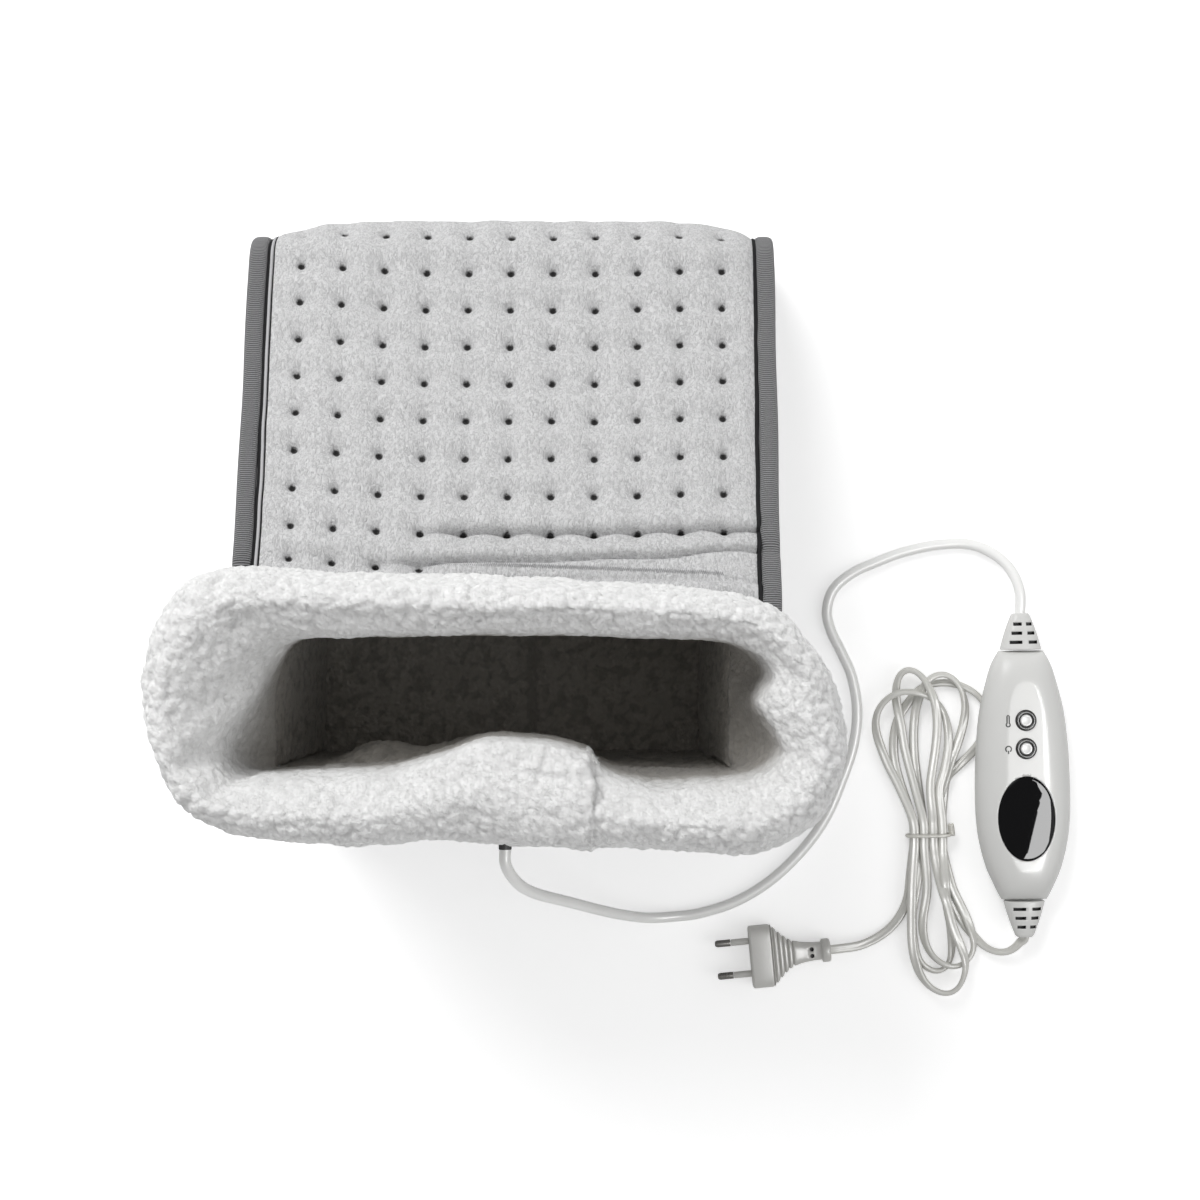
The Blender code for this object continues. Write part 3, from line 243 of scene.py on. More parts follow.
def smoothCurve(points, steps, closed=False):
    # Catmull-Rom curve through the points, each a tuple of any length
    knots = [np.array(p, float) for p in points]
    n = len(knots)
    out = []
    for k in range(n if closed else n - 1):
        if closed:
            a, b, c, d = (knots[(k + j) % n] for j in (-1, 0, 1, 2))
        else:
            b, c = knots[k], knots[k + 1]
            a = knots[k - 1] if k else 2 * b - c
            d = knots[k + 2] if k + 2 < n else 2 * c - b
        for j in range(steps):
            t = j / steps
            out.append((2 * b + (c - a) * t + (2 * a - 5 * b + 4 * c - d) * t ** 2
                        + (3 * b - a - 3 * c + d) * t ** 3) / 2)
    if not closed:
        out.append(knots[-1])
    return np.array(out)


def resample(line, count, closed=False):
    line = np.array(line)
    if closed:
        line = np.vstack([line, line[:1]])
    run = np.concatenate([[0], np.cumsum(np.linalg.norm(np.diff(line[:, :3], axis=0), axis=1))])
    marks = np.linspace(0, run[-1], count + 1 if closed else count)
    if closed:
        marks = marks[:-1]
    return np.stack([np.interp(marks, run, line[:, k]) for k in range(line.shape[1])], axis=1)


def lengthOf(line):
    return float(np.linalg.norm(np.diff(np.array(line)[:, :3], axis=0), axis=1).sum())


def groove(value, middle, width):
    return math.exp(-((value - middle) / width) ** 2)


def smoothstep(t):
    t = np.clip(t, 0.0, 1.0)
    return t * t * (3 - 2 * t)


def sweepSections(name, sections, look, **how):
    # a closed skin through rings of as many points each, extruded from one ring to the next
    bm = bmesh.new()
    count = len(sections[0])
    ring = bmesh.ops.create_circle(bm, segments=count, radius=1, cap_ends=False)["verts"]
    for vert, place in zip(ring, sections[0]):
        vert.co = place
    loop = bm.edges[:]
    first = list(ring)
    for section in sections[1:]:
        made = bmesh.ops.extrude_edge_only(bm, edges=loop)
        pairs = {}
        for vert in newVerts(made):
            for edge in vert.link_edges:
                other = edge.other_vert(vert)
                if other in ring:
                    pairs[other] = vert
        ring = [pairs[v] for v in ring]
        for vert, place in zip(ring, section):
            vert.co = place
        fresh = set(ring)
        loop = [e for e in made["geom"] if isinstance(e, bmesh.types.BMEdge)
                and fresh.issuperset(e.verts)]
    bm.faces.new(first)
    bm.faces.new(ring)
    return linkMesh(name, finishMesh(name, bm, angle=how.pop("angle", 40)), look, **how)


def curvePiece(name, points, diameter, look, resolution=6, **how):
    curve = bpy.data.curves.new(name, "CURVE")
    curve.dimensions = "3D"
    curve.bevel_depth = diameter / 2
    curve.bevel_resolution = resolution
    curve.use_fill_caps = True
    spline = curve.splines.new("POLY")
    spline.points.add(len(points) - 1)
    for point, place in zip(spline.points, points):
        point.co = (*place[:3], 1)
    spline.use_smooth = True
    return linkMesh(name, curve, look, **how)


def turnedPiece(name, profile, look, place, **how):
    # a profile of (radius, height) pairs, spun round the upright axis
    bm = bmesh.new()
    verts = [bm.verts.new((r, 0, z)) for r, z in profile]
    for a, b in zip(verts, verts[1:]):
        bm.edges.new((a, b))
    if how.pop("closed", False):
        bm.edges.new((verts[-1], verts[0]))
    bmesh.ops.spin(bm, geom=bm.verts[:] + bm.edges[:], axis=(0, 0, 1), cent=(0, 0, 0),
                   angle=math.tau, steps=48, use_merge=True)
    bmesh.ops.remove_doubles(bm, verts=bm.verts, dist=1e-6)
    mesh = finishMesh(name, bm)
    mesh.transform(place)
    return linkMesh(name, mesh, look, **how)


def carve(obj, cutter):
    # a Boolean, applied at once; the cutter is used up
    cut = obj.modifiers.new("cut", "BOOLEAN")
    cut.object = cutter
    cut.operation = "DIFFERENCE"
    cut.solver = "EXACT"
    cut.material_mode = "TRANSFER"
    bakeModifiers(obj)
    bpy.data.objects.remove(cutter)


def bakeModifiers(obj):
    bpy.context.view_layer.update()
    graph = bpy.context.evaluated_depsgraph_get()
    made = bpy.data.meshes.new_from_object(obj.evaluated_get(graph), depsgraph=graph)
    obj.modifiers.clear()
    old = obj.data
    obj.data = made
    bpy.data.meshes.remove(old)
    made.name = obj.name


def squircle(halfWidth, halfHeight, squareness, count):
    points = []
    for k in range(count):
        angle = math.tau * (k + 0.5) / count
        c, s = math.cos(angle), math.sin(angle)
        points.append((math.copysign(abs(c) ** (2 / squareness), c) * halfWidth,
                       math.copysign(abs(s) ** (2 / squareness), s) * halfHeight))
    return points


addCamera()

# Lead from the heel to the controller: one round lead, down the heel and round to the case
controller = {"x": 0.2895, "y": -0.1426, "turn": math.radians(0.8), "length": 0.1415,
              "width": 0.0536, "bottom": 0.012, "top": 0.0127, "gap": 0.0003, "axisZ": 0.012}
casePlace = Matrix.Translation((controller["x"], controller["y"], 0)) @ Matrix.Rotation(
    controller["turn"], 4, "Z")


def casePoint(x, y, z):
    return casePlace @ Vector((x, y, z))


# a pale jacket, its colour raised further as painted light against the cuff's shadow on the lead
leadJacket = grainMaterial("leadJacket", (0.90, 0.90, 0.885), 0.40, 900, 70, 0.02, 0.00003,
                           spread=0.15)
cordJacket = grainMaterial("cordJacket", (0.66, 0.655, 0.62), 0.40, 700, 50, 0.03, 0.00004,
                           spread=0.2)
tieSkin = grainMaterial("tieSkin", (0.66, 0.65, 0.60), 0.35, 900, 120, 0.04, 0.00003)

heaterLead = {"diameter": 0.006, "exitX": 0.001, "exitY": -0.1698, "exitZ": 0.150}
leadRoute = (
    (0.0030, -0.1815, 0.1465), (0.0070, -0.1880, 0.1380), (0.0120, -0.1935, 0.1240),
    (0.0185, -0.1985, 0.1060), (0.0265, -0.2035, 0.0850), (0.0360, -0.2090, 0.0630),
    (0.0470, -0.2150, 0.0410), (0.0600, -0.2205, 0.0225), (0.0760, -0.2245, 0.0085),
    (0.0920, -0.2245, 0.0034), (0.1070, -0.2225, 0.0030), (0.1280, -0.2155, 0.0030),
    (0.1480, -0.2030, 0.0030), (0.1660, -0.1855, 0.0030), (0.1790, -0.1670, 0.0030),
    (0.1880, -0.1460, 0.0030), (0.1945, -0.1260, 0.0030), (0.1965, -0.1060, 0.0030),
    (0.1935, -0.0870, 0.0030), (0.1880, -0.0740, 0.0030), (0.1815, -0.0605, 0.0030),
    (0.1792, -0.0490, 0.0030), (0.1830, -0.0370, 0.0030), (0.1936, -0.0277, 0.0030),
    (0.2070, -0.0215, 0.0030), (0.2230, -0.0155, 0.0030), (0.2420, -0.0115, 0.0030),
    (0.2600, -0.0110, 0.0036), (0.2740, -0.0165, 0.0060), (0.2835, -0.0260, 0.0095),
)
exitPlace = (heaterLead["exitX"], heaterLead["exitY"], heaterLead["exitZ"])
leadKnots = [(exitPlace[0], exitPlace[1] + 0.004, exitPlace[2]), exitPlace,
             (exitPlace[0], exitPlace[1] - 0.006, exitPlace[2]), *leadRoute,
             *(tuple(casePoint(0, y, controller["axisZ"])) for y in (0.1045, 0.0924, 0.0884))]
leadLine = smoothCurve(leadKnots, 8)
lead = curvePiece("heaterLead", leadLine, heaterLead["diameter"], leadJacket, 8,
                  replaced=("heater_lead",), slot="lead_jacket")
print("heater lead", round(lengthOf(leadLine), 3), "m")

# Flat mains cord: its lobes as they lie, each with a layer number where it passes over others
mainsCord = {"width": 0.0052, "thickness": 0.0032, "groove": 0.0006, "spacing": 0.002,
             "sectionPoints": 24, "waistV": 834.0, "waistHeights": (0.0037, 0.0071),
             "floor": 0.0017, "flatBelow": 14.0, "edgeAbove": 48.0, "fullRoll": math.radians(76)}
waistSlots = (914.0, 923.3, 932.6, 941.9)
controllerTail = ((1017.5, 941.5, 1.6), (1013, 947.5, 1.0), (1006, 951.5, 0.4), (997, 952, 0),
                  (988, 949, 0), (980, 942.5, 0), (973, 934.5, 0), (964.6, 924.5, 0),
                  (958.8, 914, 0), (953.8, 903, 0), (949, 891, 0))
lobeC = ((942, 789, 1), (946, 776, 1), (950, 763, 1), (956, 748, 1), (961, 732.5, 1), (964, 720, 1),
         (965, 707, 1), (962.5, 694, 1), (957, 683, 1), (950, 676.5, 1), (942, 673.5, 1),
         (933, 676, 1), (925, 682, 1), (920, 694, 0.5), (917, 703, 0.5), (915, 715, 0.5),
         (914, 732.5, 0.5), (914.5, 750, 0.5), (916, 767, 0.5))
bottomTwo = ((916.5, 888, 1), (912.5, 913, 1), (913, 934, 0.5), (917, 955, 0), (923, 965, 0),
             (931.5, 971, 0), (939, 972, 0), (946, 969, 0), (950.5, 961, 0), (952, 950.5, 0),
             (952, 938, 0), (950, 921.5, 0), (947, 909, 1), (944, 890, 2))
lobeA = ((938, 789, 2), (943, 771, 2), (946.5, 754, 2), (948, 741, 2), (947, 728, 2), (943, 712, 2),
         (936, 702, 2), (926, 695.5, 2), (915, 692, 2), (907, 691, 2), (898, 692, 2),
         (888.5, 696.5, 2), (881, 704, 2), (876.5, 713, 2), (875, 724, 2), (877, 736, 2),
         (881.5, 749, 2), (888, 765, 2), (900, 789, 2))
bottomOne = ((911.5, 888, 2), (911, 921.5, 2), (912, 946, 2), (915.5, 963, 2), (922, 978, 2),
             (931.5, 988, 2), (943, 993, 2), (952, 991.5, 2), (959, 984.5, 2), (963, 973, 2),
             (964, 961, 2), (961, 949, 2), (956, 937, 2), (951, 925, 2), (947.5, 912, 2),
             (944, 900, 2), (940, 888, 2))
lobeB = ((929, 789, 3), (931.5, 767, 3), (934, 750, 3), (935.5, 732.5, 3), (935.5, 720, 3),
         (934, 707, 3), (931, 696, 3), (926, 684.5, 3), (919.5, 675, 3), (911.5, 669.5, 3),
         (903, 670.5, 2), (897.5, 678, 1.5), (896, 688, 1), (896, 700, 1), (898.5, 714, 1),
         (901.5, 728, 1), (903.5, 742, 1), (907, 758, 1), (911.5, 775, 1.5))
bottomThree = ((927, 888, 1), (923.5, 913, 1), (922.5, 930, 1), (926, 945, 1), (932, 955.5, 1),
               (940, 962, 1), (948, 965.5, 1), (956, 966, 1), (963, 963.5, 1), (969, 958.5, 1),
               (973, 950.5, 1), (973.5, 941, 1), (970.5, 929, 1), (965, 914, 1), (957.5, 899, 1),
               (951, 884, 0.6))
lobeD = ((946.5, 780, 0), (952, 773, 0), (963, 762, 0), (975, 750, 0), (983, 737, 0),
         (986.5, 722, 0), (986, 708, 0), (980, 697, 0), (970, 689.5, 0), (961, 685.5, 0),
         (950, 683, 0), (940, 682.7, 0), (931, 684.5, 0), (921, 688, 0), (913, 697, 0),
         (906, 706.5, 0), (900, 716, 0), (896, 727, 0), (894, 739, 0), (894, 752, 0), (896, 766, 0),
         (902, 787, 0))
plugTail = ((910.5, 880, 0), (909.5, 892, 0), (907, 903, 0), (902, 914, 0), (896, 923, 0),
             (888, 931, 0), (877, 938.5, 0), (867, 943, 0))
waistPasses = ((2, 0), (1, 0), (3, 1), (0, 1), (2, 1), (1, 1), (3, 0), (0, 0))


def waistKnots(passed, upwards, entering, leaving):
    # three points through the tie, in one of its four columns and two layers
    slotNumber, layer = waistPasses[passed]
    slot, middle = waistSlots[slotNumber], mainsCord["waistV"]
    above, below = (leaving, entering) if upwards else (entering, leaving)
    knots = []
    for v, near in ((middle - 15, above), (middle, None), (middle + 15, below)):
        drift = (near[0] - slot) * (15 / (near[1] - middle)) ** 2 if near else 0.0
        place = fromPhoto(slot + drift, v, 0.004)
        knots.append((place.x, place.y, mainsCord["waistHeights"][layer], 1.0))
    return knots[::-1] if upwards else knots


def cordKnots():
    # (x, y, z, held) along the whole cord: held points keep their height
    stretches = (controllerTail, lobeC, bottomTwo, lobeA, bottomOne, lobeB, bottomThree, lobeD,
                 plugTail)
    knots = [(*casePoint(0, -0.0860, controller["axisZ"]), 1.0),
             (*casePoint(0, -0.0900, controller["axisZ"]), 1.0),
             (*casePoint(0, -0.0935, 0.0115), 1.0)]
    for number, stretch in enumerate(stretches):
        for u, v, level in stretch:
            place = fromPhoto(u, v, 0.004)
            height = mainsCord["floor"] + level * (mainsCord["thickness"] + 0.0002)
            knots.append((place.x, place.y, height, 0.0))
        if number < len(stretches) - 1:
            knots += waistKnots(number, number % 2 == 0, stretch[-1], stretches[number + 1][0])
    c, s = math.cos(plug["turn"]), math.sin(plug["turn"])
    for along, height, held in ((0.0620, 0.0045, 0.0), (0.0515, 0.0067, 1.0),
                                (0.0440, 0.00685, 1.0)):
        knots.append((plug["x"] + along * c, plug["y"] + along * s, height, held))
    return knots


def softened(values, reach):
    # a running mean with soft ends over the samples
    window = np.hanning(2 * reach + 3)[1:-1]
    return np.convolve(np.pad(values, reach, "edge"), window / window.sum(), "valid")


def cordRoll(line):
    # a flat cord stands on its edge where it bends and lies flat where it runs straight
    heading = np.unwrap(np.arctan2(*np.gradient(line[:, :2], axis=0).T[::-1]))
    bend = softened(np.abs(np.gradient(heading) / mainsCord["spacing"]), 8)
    low, high = mainsCord["flatBelow"], mainsCord["edgeAbove"]
    share = smoothstep((bend - low) / (high - low)) * (1 - softened((line[:, 3] > 0.5) * 1.0, 8))
    return mainsCord["fullRoll"] * softened(share, 8)


def halfSizes(roll):
    # half the width and half the height that the section takes when it is rolled
    a, b = mainsCord["width"] / 2, mainsCord["thickness"] / 2
    c, s = np.cos(roll), np.sin(roll)
    return np.hypot(a * c, b * s), np.hypot(a * s, b * c)


settle = {"turns": 420, "again": 3, "keep": 0.4, "sag": 0.00004, "gap": 0.0001, "apart": 0.014,
          "push": 0.4}


def settleCord(line, roll):
    # lets the strands down onto each other: each pair that crosses keeps its order
    wide, high = halfSizes(roll)
    held = line[:, 3] > 0.99
    lowest = np.where(held, line[:, 2], high + settle["gap"])
    height = np.maximum(line[:, 2], lowest)
    n = len(line)
    run = np.arange(n) * mainsCord["spacing"]
    reach = wide[:, None] + wide[None] + 2 * settle["gap"]
    away = np.linalg.norm(line[:, None, :2] - line[None, :, :2], axis=2)
    near = (away < reach) & (np.abs(run[:, None] - run[None]) > settle["apart"])
    first, second = np.nonzero(np.triu(near, 1))
    need = (high[first] + high[second] + settle["gap"]) * np.sqrt(
        1 - (away[first, second] / reach[first, second]) ** 2)
    order = np.where(line[first, 2] >= line[second, 2], 1.0, -1.0)
    spread = np.hanning(11)[1:-1]
    for turn in range(settle["turns"]):
        height = np.where(held, line[:, 2], settle["keep"] * height
                          + (1 - settle["keep"]) * softened(height, 6) - settle["sag"])
        for again in range(settle["again"]):
            lack = need - order * (height[first] - height[second])
            short = lack > 0
            push, count = np.zeros(n), np.full(n, 1e-9)
            a, b, gain = first[short], second[short], (order * lack)[short]
            for ends, sign in ((a, 0.5), (b, -0.5)):
                np.add.at(push, ends, gain * sign)
                np.add.at(count, ends, 1)
            push = np.convolve(push / np.maximum(count, 1), spread, "same") * settle["push"]
            height = np.where(held, height, np.maximum(height + push, lowest))
    height = np.where(held, height, np.maximum(softened(height, 2), lowest))
    lack = need - order * (height[first] - height[second])
    print("cord: worst overlap of crossing strands, mm:", round(1000 * float(lack.max()), 2),
          "highest, mm:", round(1000 * float(height.max()), 1))
    settled = line[:, :3].copy()
    settled[:, 2] = height
    return settled


def flatSections(line, roll):
    # rings of a flat two-core cord: an oval with a shallow groove down both faces
    sections = []
    for k, place in enumerate(line):
        ahead = Vector(line[min(k + 1, len(line) - 1)] - line[max(k - 1, 0)]).normalized()
        side = Vector((0, 0, 1)).cross(ahead).normalized()
        up = ahead.cross(side)
        c, s = math.cos(roll[k]), math.sin(roll[k])
        side, up = side * c + up * s, up * c - side * s
        ring = []
        for u, w in squircle(mainsCord["width"] / 2, mainsCord["thickness"] / 2, 2.5,
                             mainsCord["sectionPoints"]):
            w -= math.copysign(mainsCord["groove"] * groove(u, 0.0, mainsCord["width"] * 0.13), w)
            ring.append(Vector(place) + side * u + up * w)
        sections.append(ring)
    return sections


plug = {"x": 0.1350, "y": -0.2473, "turn": math.radians(5.4), "height": 0.0137, "width": 0.0353,
        "edge": 0.0012, "blockLength": 0.0125, "gripStart": 0.0127, "gripLength": 0.0134,
        "gripHalf": (0.0176, 0.0108), "neckHigh": 0.0055, "grooves": 5, "grooveDepth": 0.0013,
        "square": 4.5, "pinSide": 0.0093, "holeSide": 0.0019, "holeRadius": 0.0012}
cordLine = resample(smoothCurve(cordKnots(), 10), 820)
for axis in (0, 1):
    cordLine[8:-8, axis] = softened(cordLine[:, axis], 3)[8:-8]
mainsCord["spacing"] = 1.6 / (len(cordLine) - 1)
rolls = cordRoll(cordLine)
cordLine = settleCord(cordLine, rolls)
cord = sweepSections("mainsCord", flatSections(cordLine, rolls), cordJacket, angle=70,
    replaced=("mains_tail_controller", "mains_hank", "mains_tail_plug"), slot="cord_jacket")

# Tie: a covered wire once round the waist, its ends twisted together at the right
tie = {"wire": 0.0019, "halfWidth": 0.0122, "low": 0.0009, "high": 0.0103, "twist": 0.0062,
       "turns": 2.5}
tieX, tieY = fromPhoto(928, 834, 0.004)[:2]
tieLoop = []
for k in range(49):
    angle = math.radians(-10) - math.radians(340) * k / 48
    c, s = math.cos(angle), math.sin(angle)
    u = math.copysign(abs(c) ** 0.45, c) * tie["halfWidth"]
    w = math.copysign(abs(s) ** 0.45, s) * (tie["high"] - tie["low"]) / 2
    tieLoop.append((tieX + u, tieY + 0.0008 * math.sin(angle * 0.5),
                    (tie["high"] + tie["low"]) / 2 + w))
twistEnds = []
for phase in (0, math.pi):
    strand = []
    for k in range(25):
        share = k / 24
        angle = phase + math.tau * tie["turns"] * share
        along = Vector((-0.15, 0.85, 0.30)).normalized() * tie["twist"] * share
        strand.append(Vector((tieX + tie["halfWidth"] + 0.0012, tieY, 0.0060)) + along
                      + Vector((math.cos(angle), 0, math.sin(angle))) * tie["wire"] * 0.55)
    twistEnds.append([tuple(p) for p in strand])
tieLine = twistEnds[0][::-1] + tieLoop + twistEnds[1]
tiePiece = curvePiece("wireTie", tieLine, tie["wire"], tieSkin, 4, replaced=("cord_tie",),
                      slot="tie")

# Plug: block, ribbed grip, neck and collar in one moulding, with sleeved pins
plugPlastic = grainMaterial("plugPlastic", (0.58, 0.575, 0.55), 0.42, 500, 60, 0.02, 0.00006,
                            spread=0.2)
# the pins' metal is made dark grey: a painted reflection of dark surroundings
pinMetal = grainMaterial("pinMetal", (0.20, 0.195, 0.185), 0.30, 1200, 90, 0.08, 0.00001,
                         metallic=1.0, spread=0.3)
# near-black: painted shade in the plug's holes and the relief's slots, and the grommet's own black
holeShadeAndGrommetBlack = grainMaterial("holeShadeAndGrommetBlack", (0.012, 0.012, 0.012), 0.7, 900, 90, 0.05, 0.0)
plugPlace = Matrix.Translation((plug["x"], plug["y"], plug["height"] / 2)) @ Matrix.Rotation(
    plug["turn"], 4, "Z")


sleeveProfile = ((0.0, 0.0), (0.0019, 0.0), (0.0019, 0.0096), (0.0017, 0.0100), (0.0, 0.0100))
pinProfile = ((0.0, 0.0), (0.0020, 0.0), (0.0020, 0.0074), (0.00185, 0.0081), (0.0015, 0.0086),
              (0.0010, 0.0089), (0.0, 0.0090))


def buildPlug():
    halfWide, halfHigh, edge = plug["width"] / 2, plug["height"] / 2, plug["edge"]
    square = plug["square"]
    stations = [(0.0, halfWide - edge, halfHigh - edge, square)]
    for k in range(1, 6):
        angle = math.radians(90) * k / 5
        back, inset = edge * (1 - math.cos(angle)), edge * (1 - math.sin(angle))
        stations.append((back, halfWide - inset, halfHigh - inset, square))
    for k in range(6):
        angle = math.radians(90) * k / 5
        back, inset = edge * (1 - math.sin(angle)), edge * (1 - math.cos(angle))
        stations.append((plug["blockLength"] - back, halfWide - inset, halfHigh - inset, square))
    widest, taper = plug["gripHalf"]
    for k in range(61):  # concave taper with five grooves across it
        share = k / 60
        wide = widest - taper * (1 - (1 - share) ** 1.45)
        high = halfHigh + (plug["neckHigh"] - halfHigh) * smoothstep(share)
        phase = (share * plug["grooves"]) % 1.0
        depth = plug["grooveDepth"] * groove(phase, 0.32, 0.17) if k < 60 else 0.0
        stations.append((plug["gripStart"] + plug["gripLength"] * share, wide - depth, high - depth,
                         square - 1.2 * share))
    for x, wide, high, square in ((0.0285, 0.0061, 0.0051, 3.2), (0.0320, 0.0055, 0.0047, 3.2),
                                  (0.0365, 0.0051, 0.0044, 3.2), (0.0404, 0.0050, 0.0044, 3.0),
                                  (0.0408, 0.0053, 0.0048, 2.4), (0.0410, 0.0063, 0.0062, 2.0),
                                  (0.0415, 0.0067, 0.0067, 2.0), (0.0446, 0.0067, 0.0067, 2.0),
                                  (0.0455, 0.0063, 0.0063, 2.0), (0.0458, 0.0056, 0.0056, 2.0)):
        stations.append((x, wide, high, square))
    rings = [[plugPlace @ Vector((x, u, w)) for u, w in squircle(a, b, n, 56)]
             for x, a, b, n in stations]
    body = sweepSections("plugMoulding", rings, plugPlastic, angle=50, replaced=("plug_body",),
                         slot="plug")
    for side in (-1, 1):  # two blind holes beside the middle of the neck
        bm = bmesh.new()
        bmesh.ops.create_cone(bm, cap_ends=True, segments=20, radius1=plug["holeRadius"],
                              radius2=plug["holeRadius"], depth=0.0040)
        mesh = finishMesh("neckHole", bm)
        mesh.materials.append(holeShadeAndGrommetBlack)
        mesh.transform(plugPlace @ Matrix.Translation((0.0350, side * plug["holeSide"], 0.0046)))
        carve(body, looseObject("neckHole", mesh))
    back = Matrix.Rotation(math.radians(-90), 4, "Y")
    pieces = [body]
    for number, side in (("1", 1), ("2", -1)):
        for name, start, profile, look, node, slot in (
                ("sleeve", -0.0003, sleeveProfile, plugPlastic, "pin_sleeve_", "plug"),
                ("pin", -0.0106, pinProfile, pinMetal, "plug_pin_", "pin")):
            place = plugPlace @ Matrix.Translation((start, side * plug["pinSide"], 0)) @ back
            pieces.append(turnedPiece(name + number, profile, look, place,
                                      replaced=(node + number,), slot=slot))
    return pieces


plugPieces = buildPlug()
print("cords and plug made")

# Controller: a glossy case in two halves, an oval display and two round keys in dark rings
casePlastic = grainMaterial("casePlastic", (0.68, 0.68, 0.665), 0.26, 900, 40, 0.01, 0.00001,
                            coat=0.06, spread=0.06, specular=0.2)
displayGlass = grainMaterial("displayGlass", (0.002, 0.002, 0.0025), 0.008, 700, 30, 0.02, 0.0,
                             specular=0.15)
keyRing = grainMaterial("keyRing", (0.014, 0.0135, 0.013), 0.36, 900, 90, 0.05, 0.00002)
keyCap = grainMaterial("keyCap", (0.64, 0.64, 0.63), 0.38, 900, 90, 0.03, 0.00003)
markInk = grainMaterial("markInk", (0.025, 0.025, 0.025), 0.6, 900, 90, 0.05, 0.0)
caseShape = {"widths": (0.48, 0.62, 0.79, 0.93, 0.985, 1.0, 0.993, 0.965, 0.875, 0.72, 0.62, 0.47),
             "places": (-1.0, -0.89, -0.74, -0.53, -0.36, -0.2, 0.0, 0.24, 0.53, 0.77, 0.89, 1.0),
             "top": (2.6, 8.0, 0.42), "bottom": (4.0, 10.0, 0.36), "flat": 1.05}


def caseHalfWidth(share):
    places, widths = caseShape["places"], caseShape["widths"]
    n = len(places)
    k = max(0, min(n - 2, int(np.searchsorted(places, share)) - 1))
    slopes = [(widths[min(j + 1, n - 1)] - widths[max(j - 1, 0)])
              / (places[min(j + 1, n - 1)] - places[max(j - 1, 0)]) for j in (k, k + 1)]
    step = places[k + 1] - places[k]
    t = (share - places[k]) / step
    value = ((2 * t ** 3 - 3 * t ** 2 + 1) * widths[k]
             + (t ** 3 - 2 * t ** 2 + t) * step * slopes[0]
             + (3 * t ** 2 - 2 * t ** 3) * widths[k + 1] + (t ** 3 - t ** 2) * step * slopes[1])
    return controller["width"] / 2 * value


def caseRise(u, v, height, shares):
    section, ends, crown = shares
    rim = max(0.0, (1 - abs(u) ** section) * (1 - abs(v) ** ends))
    return height * min(1.0, caseShape["flat"] * rim ** crown)


def caseTopAt(x, y):
    # height of the top shell's face over a point of the case's own frame
    v = y / (controller["length"] / 2)
    u = x / caseHalfWidth(v)
    return controller["bottom"] + controller["gap"] + caseRise(u, v, controller["top"],
                                                               caseShape["top"])


def caseHalf(name, height, shares, base, node):
    bm = bmesh.new()
    bmesh.ops.create_grid(bm, x_segments=60, y_segments=130, size=1)
    for vert in bm.verts:
        u = math.sin(math.radians(90) * vert.co.x)
        v = math.sin(math.radians(90) * vert.co.y)
        vert.co = (u * caseHalfWidth(v), v * controller["length"] / 2,
                   caseRise(u, v, height, shares))
    bmesh.ops.holes_fill(bm, edges=[e for e in bm.edges if e.is_boundary], sides=0)
    mesh = finishMesh(name, bm, angle=35)
    mesh.transform(casePlace @ Matrix.Translation((0, 0, base)))
    return linkMesh(name, mesh, casePlastic, replaced=(node,), slot="case")


topShell = caseHalf("caseTop", controller["top"], caseShape["top"],
                    controller["bottom"] + controller["gap"], "controller_top_shell")
caseHalf("caseBottom", -controller["bottom"], caseShape["bottom"], controller["bottom"],
         "controller_bottom_shell")
display = {"width": 0.032, "length": 0.0475, "middle": -0.0238, "lift": 0.00012, "gap": 0.00028,
           "cut": (0.018, 0.030)}


def ovalPost(name, halfWidth, halfLength, middle, low, high):
    bm = bmesh.new()
    bmesh.ops.create_cone(bm, cap_ends=True, segments=96, radius1=1, radius2=1, depth=1)
    mesh = finishMesh(name, bm)
    mesh.transform(casePlace @ Matrix.Translation((0, middle, (low + high) / 2))
                   @ Matrix.Diagonal((halfWidth, halfLength, high - low, 1)))
    return looseObject(name, mesh)


carve(topShell, ovalPost("displayPocket", display["width"] / 2 + display["gap"],
                         display["length"] / 2 + display["gap"], display["middle"],
                         *display["cut"]))
lensRings = []
for share, lift in ((1.0, -0.0040), (1.0, -0.0003), (0.993, -0.00005), (0.975, 0.0001),
                    *((inner, display["lift"]) for inner in (0.93, 0.8, 0.6, 0.4, 0.2, 0.05))):
    ring = []
    for k in range(96):
        x = math.cos(math.tau * k / 96) * display["width"] / 2 * share
        y = math.sin(math.tau * k / 96) * display["length"] / 2 * share + display["middle"]
        ring.append(casePoint(x, y, caseTopAt(x, y) + lift))
    lensRings.append(ring)
sweepSections("displayOval", lensRings, displayGlass, replaced=("display_lens",), slot="display")
keys = {"temp": 0.03175, "power": 0.01585, "marksX": -0.0100, "marksLower": 0.0002}
ringProfile = ((0.0034, 0.0004), (0.0036, 0.0008), (0.0042, 0.0011), (0.0048, 0.0012),
               (0.0054, 0.0010), (0.0058, 0.0006), (0.0060, 0.0001), (0.0060, -0.0010),
               (0.0042, -0.0020), (0.0041, 0.0000))
keyProfile = ((0.0, 0.0015), (0.0013, 0.00155), (0.0021, 0.0017), (0.0026, 0.0018),
              (0.0030, 0.0017), (0.0032, 0.0014), (0.0032, -0.0004), (0.0038, -0.0006),
              (0.0038, -0.0025), (0.0, -0.0025))
caseTopZ = controller["bottom"] + controller["gap"] + controller["top"]
for name in ("temp", "power"):
    place = casePlace @ Matrix.Translation((0, keys[name], caseTopZ))
    turnedPiece(name + "Ring", ringProfile, keyRing, place, closed=True,
                replaced=(name + "_button_ring",), slot="ring")
    turnedPiece(name + "Key", keyProfile, keyCap, place, body=name + "_key",
                replaced=(name + "_button",), slot="switch")


mark = {"width": 0.00075, "lift": 0.00006, "thickness": 0.0002}


